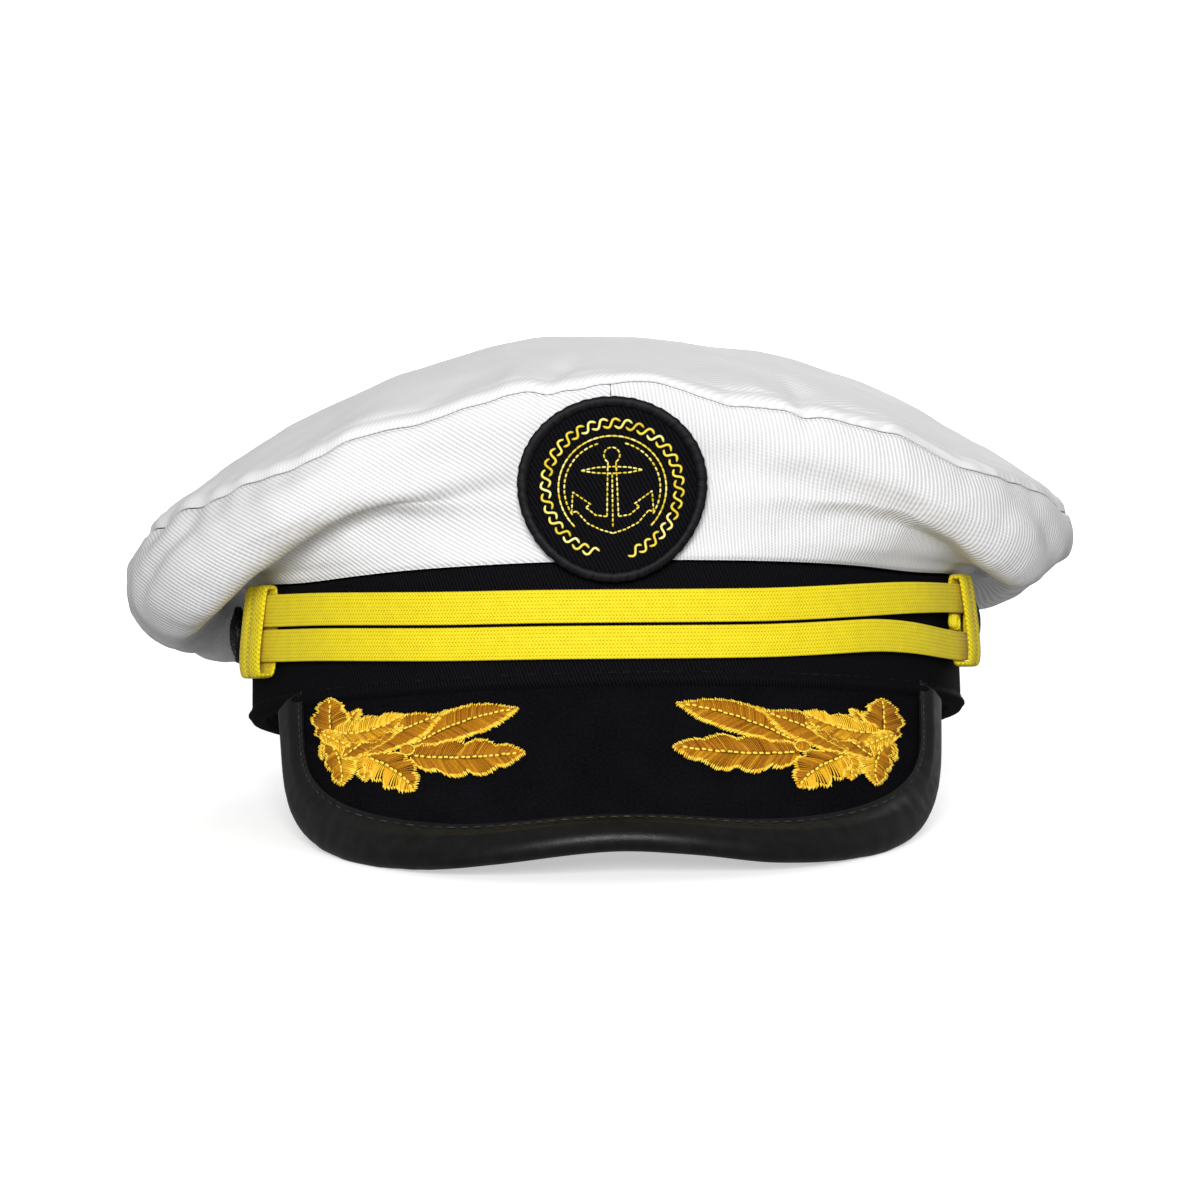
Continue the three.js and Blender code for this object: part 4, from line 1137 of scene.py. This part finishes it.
def build_binding():
    turned = np.linspace(0.004, math.pi - 0.004, 560)
    here, inward, up = outline_frame(turned)
    widths = BINDING_WIDTH * (np.linspace(1, 0, 26) ** 1.5)
    over = np.stack([widths, binding_height(widths)], -1)
    under = over[::-1][1:] * [1, -1]
    section = np.concatenate([over, under])
    inset = binding_inset(turned[:, None], section[:, 0])[..., None]
    grid = here[:, None] + inset * inward[:, None] + section[:, 1:] * up[:, None]
    face = normals(grid)
    face *= np.sign(np.einsum("ijk,ik->ij", face, up)[:, :1])[..., None]
    tight = Waves(7)
    broad = Waves(24)
    corner = smooth(0.5, 1.0, np.abs(np.cos(turned) * np.sin(turned)) * 2)[:, None]
    out = 0.06 * broad(grid) + 0.03 * corner * tight(grid)
    grid = grid + face * out[..., None]
    points, faces = shell(grid, grid - face * 0.55)
    leather = leatherette("leatherette")
    new_piece("binding_leatherette", points, faces, leather, sharp=60, node="peak_binding")


def build_binding_stitches():
    count = 84
    middle = np.linspace(0.03, math.pi - 0.03, count)
    spread = np.linspace(-1, 1, 6) * 0.011
    turned = middle[:, None] + spread
    here, inward, up = outline_frame(turned)
    width = BINDING_WIDTH - 0.9
    lift = binding_height(np.array(width)) + 0.12
    paths = here + inward * binding_inset(turned, width)[..., None] + up * lift
    tones = random.uniform(0.3, 1, count)
    greys = [(0.010, 0.010, 0.010), (0.05, 0.05, 0.052)]
    stitch = thread("thread_binding", "black_leatherette", greys, 0.6, 0.15)
    thread_piece("binding_stitches", [(paths, up, 0.22, tones)], stitch, 0.2, 0.35)


def build_peak():
    low, high = PEAK_COVER
    peak_cover("peak_cloth", (high, low), black_felt("felt_peak"), "peak_top_cover")
    peak_cover("peak_under_cloth", (-high, -low), black_twill("twill_under", 20), "peak_under_cover")
    build_binding()
    build_binding_stitches()


# ---- chin strap
def on_strap(angle, off, up):
    """Point of the chin strap: the strap's plane tilts nose down about the line through the buttons."""
    radius = BAND_RADIUS + off
    away = np.degrees(np.abs(angle))
    held = STRAP_RISE * smooth(20, 55, away) * (1 - smooth(76, 86, away))
    x, y, z = np.broadcast_arrays(radius * np.sin(angle), -radius * np.cos(angle) - BUTTON_Y, up + held)
    cos, sin = math.cos(STRAP_SLOPE), math.sin(STRAP_SLOPE)
    return np.stack([x, BUTTON_Y + cos * y - sin * z, BUTTON_Z + sin * y + cos * z], -1)


def braid_ribs(across, width, rows):
    """Height of the braid's ribs across its width."""
    phase = (across / width + 0.5) * rows
    return np.abs(np.sin(math.pi * phase)) ** 0.6


def braid_piece(name, rings, u, v, node, body="chin_strap", yarns=(0.92, 0.85), closed=False):
    """A piece of braid lofted through rings; u runs along it and v across, and yarns are the width
    of its rows and their pitch."""
    points, faces = loft(rings, closed=closed)
    uv = np.stack(np.broadcast_arrays(u, v), -1)
    new_piece(name, points, faces, yellow_braid("braid_" + name, *yarns), body, uv=uv, node=node)


def build_braid(name, middle, node):
    """One of the two braids. They part towards the right keeper, the lower one more."""
    inner, outer = STRAP_LAYER
    half = BRAID_WIDTH / 2
    turned = around(64)
    across = half * bulging(np.cos(turned), 0.75)
    thick = (outer - inner) / 2 * bulging(np.sin(turned), 0.45)
    ribs = 0.13 * (braid_ribs(across, BRAID_WIDTH, 9) - 0.7) * np.sign(thick)
    off = (inner + outer) / 2 + thick + ribs
    angle = np.linspace(-BRAID_HALF_ANGLE, BRAID_HALF_ANGLE, 420)[:, None]
    wave = 0.12 * np.sin(angle * 9 + middle) + 0.08 * np.sin(angle * 21)
    sway = 0.18 * np.sin(angle * 5 + middle * 0.7)
    parted = smooth(40, 71, np.degrees(angle))
    sway = sway + parted * (0.3 if middle > 0 else -3.0)
    across = across * (1 - 0.1 * parted)
    rings = on_strap(angle, off + wave, middle + across + sway)
    braid_piece(name, rings, angle * BAND_RADIUS, across + half, node)


def build_strap():
    build_braid("braid_cloth_upper", BRAID_SPACING / 2, "chin_braid_upper")
    build_braid("braid_cloth_lower", -BRAID_SPACING / 2, "chin_braid_lower")
    build_curl()


def build_curl():
    """The strap's cut end curls up between the two braids, just in front of the right keeper."""
    turned = np.radians(np.linspace(-60, 250, 60))
    radius = mix(1.6, 0.8, np.linspace(0, 1, 60))
    along = radius * np.cos(turned)
    up = 1.2 * radius * np.sin(turned) - 1.4
    middle = KEEPER_ANGLE["right"] - (KEEPER_WIDTH / 2 + 3.4) / BAND_RADIUS
    angle = middle + along / BAND_RADIUS
    paths = on_strap(angle, 3.6, up)[None]
    outwards = unit(on_strap(angle, 4.6, up) - on_strap(angle, 3.6, up))[None]
    points, faces, _ = tubes(paths, outwards, 0.6, 1.25, 0.7, sides=20)
    braid = yellow_braid("braid_curl", 0.5, 0.7)
    new_piece("strap_curl", points, faces, braid, "chin_strap", uv=points[:, [0, 2]])


def keeper_path(turned):
    """Loop of a keeper round both braids: it hangs a little low and bellies out at the bottom."""
    inner, outer = KEEPER_LAYER
    low, high = KEEPER_SPAN
    up = bulging(np.sin(turned), 0.8)
    height = mix(low, high, (up + 1) / 2)
    belly = mix(outer, outer - 1.3, smooth(low, high, height))
    side = bulging(np.cos(turned), 0.3)
    return mix(inner, belly, (side + 1) / 2), height


def build_keeper(name, middle, body, node):
    turned = ring_angles(140)
    off, up = keeper_path(turned)
    path = np.stack([off, up], -1)
    ahead = unit(np.roll(path, -1, 0) - np.roll(path, 1, 0))
    inward = np.stack([-ahead[:, 1], ahead[:, 0]], -1)
    section = around(56)
    half = KEEPER_WIDTH / 2 + KEEPER_SPREAD["left" if middle < 0 else "right"]
    along = half * bulging(np.cos(section), 0.7)
    depth = KEEPER_WALL / 2 * (1 - bulging(np.sin(section), 0.5))
    rolled = np.abs(np.sin(math.pi * along / half)) ** 0.7
    ribs = 0.22 * braid_ribs(along, KEEPER_WIDTH, 10) + 0.45 * rolled
    depth = depth - np.where(np.sin(section) > 0.05, ribs - 0.3, 0)
    cut = path[:, None] + inward[:, None] * depth[None, :, None]
    lean = 0.12 * cut[..., 1] * (1 if middle < 0 else -1)
    angle = middle + (along + lean) / BAND_RADIUS
    rings = on_strap(angle, cut[..., 0], cut[..., 1])
    run = run_along(path)[:, None]
    braid_piece(name, rings, run, along + half, node, body, yarns=(1.05, 1.25), closed=True)


def build_end_tab(name, side, node):
    """The strap narrows to a rounded tab that sits on the button's shank."""
    start = BRAID_HALF_ANGLE + 0.3 / BAND_RADIUS
    end = math.pi / 2 + math.asin(BUTTON_Y / BAND_RADIUS) + 4.6 / BAND_RADIUS
    angles = np.linspace(start, end, 60)
    share = (angles - start) / (end - start)
    half = mix(*TAB_HALF, smooth(0, 0.6, share))
    half = half * np.sqrt(np.maximum(1 - (np.maximum(share - 0.72, 0) / 0.3) ** 2, 0.04))
    base = mix(STRAP_LAYER[0], 0.5, smooth(0, 0.55, share))
    section = around(64)
    across = bulging(np.cos(section), 0.7)
    thick = 0.45 * (1 + bulging(np.sin(section), 0.5))
    ribs = 0.1 * (braid_ribs(across / 2, 1, 12) - 0.8) * (np.sin(section) > 0.05)
    up = half[:, None] * across
    rings = on_strap(side * angles[:, None], base[:, None] + thick + ribs, up)
    braid_piece(name, rings, angles[:, None] * BAND_RADIUS, up + TAB_HALF[0], node)


def build_button(name, side, body, node):
    """Covered button: a rolled rim round a low dome, wound with glossy cord, with painted glints: a few points of
    the cord take a pale grey.
    """
    inside = BUTTON_RADIUS - BUTTON_RIM
    dome = [(r, 2.1 + 1.6 * (1 - (r / 6.6) ** 2)) for r in np.linspace(0.4, inside, 26)]
    edge = [
        (inside + BUTTON_RIM * math.sin(a), 1.45 + 1.15 * BUTTON_RIM * math.cos(a))
        for a in np.linspace(-0.6, 2.7, 14)
    ]
    back = [(r, 0.1) for r in np.linspace(BUTTON_RADIUS - 1.2, 0.4, 5)]
    turned = np.linspace(0, TURN, 160, endpoint=False)
    rings = []
    for radius, out in dome + edge + back:
        strands = 0.13 * np.sin(22 * turned + radius * 2.6) * min(1, radius / 3) * (out > 0.5)
        turns = 0.1 * math.sin(radius * 5.2) * (out > 2)
        x = side * (BAND_RADIUS + BUTTON_OFF + out + strands + turns)
        y = BUTTON_Y + radius * np.cos(turned)
        rings.append(np.stack([x, y, BUTTON_Z + radius * np.sin(turned)], -1))
    points, faces = loft(np.array(rings))
    # painted glints: tone to the sixth power leaves a few points pale grey, the last colour
    tone = random.uniform(0, 1, len(points)) ** 6
    blacks = [(0.003, 0.003, 0.004), (0.008, 0.008, 0.009), (0.02, 0.02, 0.02), (0.6, 0.6, 0.6)]
    cord = thread("thread_" + name, "black_embroidery", blacks, 0.4, 0.15)
    new_piece(name, points, faces, cord, body, tone=tone, node=node)


def build_strap_ends():
    for word, side in (("left", -1), ("right", 1)):
        build_keeper("keeper_braid_" + word, KEEPER_ANGLE[word], "keeper_" + word, "keeper_" + word)
        build_end_tab("strap_end_" + word, side, "strap_end_tab_" + word)
        build_button("button_cover_" + word, side, "button_" + word, "side_button_" + word)


# ---- round patch
def patch_angle(right):
    return np.asarray(right) / (BAND_RADIUS + PATCH_FOOT + PATCH_LEAN * PATCH_RADIUS)


def patch_point(right, up, out):
    """Point of the patch: right, up and out from its centre, wrapped round the crown's front."""
    angle = patch_angle(right)
    raised = (up + PATCH_RADIUS) / (2 * PATCH_RADIUS)
    flare = PATCH_FLARE * np.degrees(angle) ** 2 * raised
    return on_band(angle, PATCH_FOOT + PATCH_LEAN * (up + PATCH_RADIUS) + flare + out, PATCH_Z + up)


def patch_up(right):
    """Outward direction of the patch's face."""
    angle = patch_angle(right)
    return unit(np.stack([np.sin(angle), -np.cos(angle), np.full_like(angle, -PATCH_LEAN)], -1))


def patch_disc(name, radius, low, high, look, node, puff=0.0):
    """Round layer of the patch between two heights; its face swells by puff in the middle."""
    turned = np.linspace(0, TURN, 160, endpoint=False)
    reach = np.linspace(0.02, 1, 30)[:, None]
    right, up = radius * reach * np.sin(turned), radius * reach * np.cos(turned)
    back = patch_point(right, up, low)
    face = patch_point(right, up, high + puff * (1 - reach**4))
    points, faces = loft(np.concatenate([back, face[::-1]]))
    flat = np.stack([right, up], -1)
    new_piece(name, points, faces, look, uv=np.concatenate([flat, flat[::-1]]), node=node)


def build_patch_border(black):
    """Overlocked edge: hundreds of threads wound over the patch's rim, side by side."""
    threads = 330
    turned = np.linspace(0, TURN, threads * 4, endpoint=False)
    section = np.linspace(0, TURN, 20, endpoint=False)
    middle = PATCH_RADIUS - PATCH_BORDER / 2
    wind = turned[:, None] + 0.02 * np.cos(section)
    ridge = 0.07 * np.cos(threads * wind) * (np.sin(section) > -0.6)
    uneven = 0.06 * np.sin(turned * 37)[:, None] + 0.05 * np.sin(turned * 61 + 1)[:, None]
    half = PATCH_BORDER / 2 + ridge + uneven
    radius = middle + half * bulging(np.cos(section), 0.75)
    out = 1.75 + (1.25 + ridge + uneven * 0.4) * bulging(np.sin(section), 0.8)
    rings = patch_point(radius * np.sin(wind), radius * np.cos(wind), out)
    points, faces = loft(rings, closed=True)
    tone = np.repeat(np.repeat(random.uniform(0.1, 0.8, threads), 4), 20)
    new_piece("badge_edge_threads", points, faces, black, tone=tone, node="badge_border")


def on_path(path, places):
    """Flat points at the given running lengths of a polyline."""
    run = run_along(path)
    return np.stack([np.interp(places, run, path[:, k]) for k in range(2)], -1)


def running_stitches(path, stitch, gap):
    """Flat stitch paths (stitches x points x 2) along a polyline."""
    path = np.asarray(path, float)
    length = run_along(path)[-1]
    line = on_path(path, np.linspace(0, length, max(2, int(round(length / 0.08)) + 1)))
    length = run_along(line)[-1]
    count = max(1, int(round((length + gap) / (stitch + gap))))
    pitch = (length + gap) / count
    starts = np.arange(count) * pitch
    return on_path(line, starts[:, None] + np.linspace(0, pitch - gap, 6))


def patch_threads(name, groups, look, node, width=0.25):
    """Threads on the patch's face from groups of flat paths."""
    threads = []
    for flat in groups:
        right, up = flat[..., 0], flat[..., 1]
        t = np.linspace(-1, 1, flat.shape[1])
        out = np.broadcast_to(2.1 + 0.2 * (1 - t**4), right.shape)
        tones = random.uniform(0.3, 1, len(flat))
        threads.append((patch_point(right, up, out), patch_up(right), width, tones))
    thread_piece(name, threads, look, 0.19, 0.6, node)


def arc(centre, radius, start, end, count=60):
    """Flat arc; angles in degrees, clockwise from straight up."""
    turned = np.radians(np.linspace(start, end, count))
    return np.stack([centre[0] + radius * np.sin(turned), centre[1] + radius * np.cos(turned)], -1)


def rope_links():
    """Rope ring: overlapping S-shaped strokes, open at the bottom."""
    links, radius, swing, half = 33, 16.1, 1.1, 2.05
    opening = math.radians(20)
    middles = np.linspace(opening - math.pi, math.pi - opening, links)
    t = np.linspace(-1, 1, 15)
    angle = middles[:, None] + half * (t - 0.18 * np.sin(math.pi * t)) / radius
    reach = radius + swing * np.sin(math.pi * 0.82 * t)
    return np.stack([reach * np.sin(angle), reach * np.cos(angle)], -1)


def anchor_stitches():
    """Plain anchor drawn in running stitches: ring, stock, shank and two arms with flukes."""
    stock = [(-7.4, 4.6), (-4, 5.3), (0, 5.5), (4, 5.3), (7.4, 4.6), (4, 4.0), (0, 3.8), (-4, 4.0)]
    half = [
        [(0.95, 6.6), (1.1, 3.6), (1.4, -6.7)],
        [(1.4, -6.7), (4.2, -6.3), (6.5, -4.4)],
        [(6.5, -4.4), (5.4, -3.6), (9.6, -0.6), (10.0, -5.6), (8.8, -5.3)],
        [(8.8, -5.3), (6.2, -8.3), (3.0, -9.9), (0, -10.8)],
    ]
    lines = [arc((0, 8.3), 1.9, -150, 150), stock + stock[:1]]
    for side in (1, -1):
        lines += [np.array(line) * [side, 1] for line in half]
    lines.append([(0, 3.6), (0, -9.2)])
    return [running_stitches(line, 0.95, 0.28) for line in lines]


def build_patch():
    blacks = [(0.002, 0.002, 0.003), (0.01, 0.01, 0.012)]
    black = thread("thread_patch_edge", "black_embroidery", blacks, 0.5, 0.12)
    golds = [(0.42, 0.27, 0.005), (0.85, 0.66, 0.04), (1.0, 0.93, 0.35)]
    yellow = thread("thread_patch", "yellow_embroidery", golds, 0.45, 0.25)
    twill = black_twill("twill_patch", -62, 0.95)
    patch_disc("badge_backing", PATCH_RADIUS - 0.5, 0, 0.8, twill, "badge_base")
    patch_disc("badge_cloth", PATCH_RADIUS - PATCH_BORDER + 0.3, 1.0, 1.75, twill, "badge_face", 0.25)
    build_patch_border(black)
    patch_threads("badge_rope_stitches", [rope_links()], yellow, "badge_rope_wreath", 0.32)
    rings = [running_stitches(arc((0, 0), 13.0, -134, 134, 200), 1.5, 0.02)]
    for start, end in ((-122, -16), (16, 122)):
        rings.append(running_stitches(arc((0, 0), 11.6, start, end, 90), 1.0, 0.35))
    patch_threads("badge_ring_stitches", rings, yellow, "badge_inner_ring")
    patch_threads("badge_anchor_stitches", anchor_stitches(), yellow, "badge_anchor", 0.23)


# ---- oak leaf embroidery
# Leaves of a spray: base and tip as (mm from the peak's middle, mm below the spray's root), half
# width, lobes, bend to one side, and how light the threads are above and below the midrib. The
# first lie lowest, and each spray stretches LEAVES_SPAN to its own span.
LEAVES = [
    ((71.0, -4.5), (72.8, 3.0), 1.4, 0, 0.0, (0.1, 0.1)),
    ((65.5, -6.5), (61.8, -12.0), 1.7, 0, 0.1, (0.2, 0.2)),
    ((48.0, -3.5), (35.5, -11.2), 2.0, 0, 0.05, (0.1, 0.5)),
    ((63.5, -0.5), (64.8, 8.5), 2.4, 0, -0.1, (0.1, 0.1)),
    ((60.5, 1.5), (61.6, 11.2), 3.0, 3, 0.0, (0.5, 0.5)),
    ((48.5, 0.6), (21.8, -11.6), 5.0, 0, 0.05, (0.0, 0.0)),
    ((49.5, 4.2), (20.6, 3.4), 6.1, 4, -0.05, (0.12, 0.0)),
    ((69.6, -2.0), (67.2, 12.0), 3.9, 3, 0.08, (0.05, 0.55)),
    ((60.0, 3.8), (48.6, 15.6), 5.6, 4, 0.08, (0.6, 0.05)),
    ((69.4, -2.5), (69.2, -15.8), 4.9, 3, 0.0, (0.0, 0.0)),
    ((61.5, 2.6), (41.2, -8.6), 4.8, 0, 0.03, (0.0, 0.0)),
    ((66.5, 3.6), (50.5, -5.5), 3.8, 0, 0.05, (0.0, 0.0)),
    ((68.0, -4.2), (50.2, -9.0), 4.4, 3, -0.12, (0.35, 0.75)),
    ((71.5, -4.6), (64.0, 0.6), 2.4, 2, 0.0, (0.6, 0.6)),
]
LEAVES_SPAN = (21.0, 73.5)
BERRY = ((49.8, 2.6), 1.7)
THREAD_PITCH = 0.42
LEAF_STEP = 0.1


def leaf_line(base, tip, bend):
    """Midrib of a leaf: a function of the share of its length, its sideways direction, its length."""
    base, tip = np.array(base), np.array(tip)
    axis = tip - base
    side = np.array([-axis[1], axis[0]])

    def at(share):
        share = np.asarray(share, float)[..., None]
        return base + axis * share + side * bend * np.sin(math.pi * share)

    return at, side / np.linalg.norm(side), np.linalg.norm(axis)


def leaf_width(share, half, lobes):
    """Half width of a leaf at a share of its length: pointed at the tip, scalloped if it has lobes."""
    share = np.clip(share, 0, 1)
    narrow = smooth(0.5, 1, share)
    if not lobes:
        return half * np.sin(math.pi * share**1.02) ** mix(0.55, 0.85, narrow)
    scallop = np.abs(np.sin(math.pi * lobes * (share * 0.94 + 0.03))) ** 0.8
    return half * np.sin(math.pi * share**0.9) ** mix(0.45, 0.7, narrow) * (0.76 + 0.3 * scallop)


def straight(start, stop, t):
    """Straight paths from each start to its stop."""
    return start[:, None] + (stop - start)[:, None] * t[:, None]


def leaf_threads(leaf, level):
    """Flat thread paths of one leaf with their heights, half widths and tones: the slanted threads
    of each half, short threads along its edge, and a line of stitches along the midrib."""
    base, tip, half, lobes, bend, light = leaf
    at, side, length = leaf_line(base, tip, bend)
    count = int(length / THREAD_PITCH)
    shares = (np.arange(count) + 0.5) / count
    edge = leaf_width(shares, half, lobes)
    t = np.linspace(0, 1, 6)
    groups = []
    for way, bright in zip((-1, 1), light):
        ends = np.minimum(shares + 0.5 * edge / length, 0.995)
        width = leaf_width(ends, half, lobes) - 0.25
        paths = straight(at(shares), at(ends) + way * side * width[:, None], t)
        swell = 0.1 + 0.5 * np.sin(math.pi * (0.12 + 0.8 * t)) * np.minimum(width / 2.5, 1)[:, None]
        tones = np.clip(0.27 + 0.6 * bright + random.normal(0, 0.09, count), 0, 1)
        groups.append((paths, level + swell, 0.23, tones))

        ragged = random.uniform(-0.2, 0.5, count)
        outer = at(shares) + way * side * (edge + ragged)[:, None]
        depth = np.maximum(edge - random.uniform(0.5, 1.2, count), edge * 0.25)
        inner = at(np.maximum(shares - 0.4 / length, 0.0)) + way * side * depth[:, None]
        rise = level + 0.42 + 0.12 * np.sin(math.pi * t) - 0.36 * t**3
        tones = np.clip(0.92 + random.normal(0, 0.16, count), 0, 1)
        groups.append((straight(inner, outer, t), rise, 0.19, tones))
    rib = running_stitches(at(np.linspace(0.04, 0.92, 30)), 1.1, 0.35)
    rib = rib + random.uniform(-0.16, 0.16, (len(rib), 1, 2))
    rise = level + 0.5 + 0.12 * np.sin(math.pi * np.linspace(0, 1, rib.shape[1]))
    groups.append((rib, rise, 0.36, np.full(len(rib), 0.97)))
    return groups


def berry_threads(level):
    (x, y), radius = BERRY
    count = 11
    places = np.linspace(-0.92, 0.92, count) * radius
    half = np.sqrt(radius**2 - places**2)
    t = np.linspace(-1, 1, 8)
    paths = np.stack([x + places[:, None] + 0 * t, y + half[:, None] * t], -1)
    rise = level + 0.9 * np.sqrt(np.maximum(1 - t**2, 0.02)) * (half / radius)[:, None]
    tones = np.clip(0.35 + random.normal(0, 0.08, count), 0, 1)
    ring = running_stitches(arc((x, y), radius, 0, 360), 0.9, 0.0)
    return [(paths, rise, 0.24, tones), (ring, level + 0.3, 0.26, np.ones(len(ring)))]


def build_spray(name, side, span, low, tilt, look, node):
    """One spray between two distances from the peak's middle, low mm below the peak's root; tilt
    lifts its outer end."""
    innermost, outermost = LEAVES_SPAN
    groups = []
    for i, leaf in enumerate(LEAVES):
        groups += leaf_threads(leaf, i * LEAF_STEP)
    groups += berry_threads(len(LEAVES) * LEAF_STEP)
    threads = []
    for flat, rise, width, tone in groups:
        share = (flat[..., 0] - innermost) / (outermost - innermost)
        across = side * mix(*span, share) / PEAK_HALF_WIDTH
        down = low + flat[..., 1] - tilt * (share - 0.5)
        paths = peak_point(across, down, 1.75 + rise)
        threads.append((paths, peak_normal(across, down), width, tone))
    thread_piece(name, threads, look, 0.17, 0.5, node)


def build_sprays():
    golds = [(0.20, 0.06, 0.003), (0.48, 0.19, 0.007), (0.90, 0.50, 0.02), (1.0, 0.80, 0.10)]
    gold = thread("thread_gold", "gold_embroidery", golds, 0.5, 0.14)
    build_spray("spray_stitches_left", -1, (23.2, 75.2), 16.6, 5.4, gold, "leaf_spray_left")
    build_spray("spray_stitches_right", 1, (13.8, 72.6), 18.3, 0.6, gold, "leaf_spray_right")


# ---- CAD nodes that stay
def dress_nodes():
    """Materials of the CAD nodes that no piece replaces."""
    plastic = moulded_plastic("plastic_black", (0.012, 0.012, 0.013))
    steel = plated_steel("steel")
    looks = {"snap": plastic, "button_shank": steel, "button_washer": steel, "peak_board": plastic}
    for name, node in frame["nodes"].items():
        for start, material in looks.items():
            if name.startswith(start):
                node.data.materials.clear()
                node.data.materials.append(material)


# ---- stage
def area_light(name, position, size, power):
    data = bpy.data.lights.new(name, "AREA")
    data.size = size
    data.energy = power
    light = bpy.data.objects.new(name, data)
    light.location = position
    aim = Vector(LIGHT_TARGET) - Vector(position)
    light.rotation_euler = aim.to_track_quat("-Z", "Y").to_euler()
    bpy.context.scene.collection.objects.link(light)


def stage_look(name, near, far):
    """White that glows by itself, from near in the middle to far a metre away, so that a soft
    shadow shows under the cap."""
    look = Look(name, (0.93, 0.93, 0.93), 0.9)
    metres = look.node("VectorMath", operation="LENGTH")
    look.join(look.place(), metres, 0)
    share = look.math("MULTIPLY_ADD", metres.outputs["Value"], 0.001 / 0.8, -0.3)
    share = look.math("MINIMUM", look.math("MAXIMUM", share, 0.0), 1.0)
    look.join(look.math("MULTIPLY_ADD", share, far - near, near), look.shader, "Emission Strength")
    look.color(look.noise(look.place(), 400, 2), [(0.2, (0.92, 0.92, 0.92)), (0.8, (0.94, 0.94, 0.94))])
    look.set("Emission Color", (1, 1, 1, 1))
    return look.material


def stage_piece(name, look):
    """Names and dresses the new stage object, which is white to look at but doesn't light the cap."""
    piece = bpy.context.object
    piece.name = name
    piece.data.materials.append(look)
    piece.visible_diffuse = False
    piece.visible_glossy = False
    return piece


def build_stage():
    bpy.ops.mesh.primitive_circle_add(vertices=96, radius=FLOOR_RADIUS_M, fill_type="NGON")
    bpy.context.object.location.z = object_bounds()[0][2]
    stage_piece("floor", stage_look("floor_white", 0.5, 1.1))
    bpy.ops.mesh.primitive_uv_sphere_add(segments=48, ring_count=24, radius=BACKDROP_RADIUS_M)
    backdrop = stage_piece("backdrop", stage_look("backdrop_white", 1.1, 1.1))
    backdrop.visible_shadow = False
    scene = bpy.context.scene
    scene.world = bpy.data.worlds.new("studio")
    scene.world.use_nodes = True
    background = scene.world.node_tree.nodes["Background"]
    background.inputs["Color"].default_value = (1, 1, 1, 1)
    background.inputs["Strength"].default_value = WORLD_GLOW
    for name, position, size, power in LIGHTS:
        area_light(name, position, size, power)
    scene.view_settings.view_transform = "Standard"


def build_camera():
    target = Vector(place(CAMERA_TARGET))
    level, rise = math.cos(CAMERA_ELEVATION), math.sin(CAMERA_ELEVATION)
    back = Vector((math.sin(CAMERA_AZIMUTH) * level, -math.cos(CAMERA_AZIMUTH) * level, rise))
    data = bpy.data.cameras.new("camera")
    data.lens = CAMERA_LENS
    data.sensor_width = 36
    camera = bpy.data.objects.new("camera", data)
    camera.location = target + back * CAMERA_DISTANCE_M
    upright = (-back).to_track_quat("-Z", "Y").to_matrix()
    camera.rotation_euler = (upright @ Matrix.Rotation(CAMERA_ROLL, 3, "Z")).to_euler()
    bpy.context.scene.collection.objects.link(camera)
    bpy.context.scene.camera = camera


build_camera()
build_crown()
build_band()
build_peak()
build_strap()
build_strap_ends()
build_patch()
build_sprays()
dress_nodes()
build_stage()
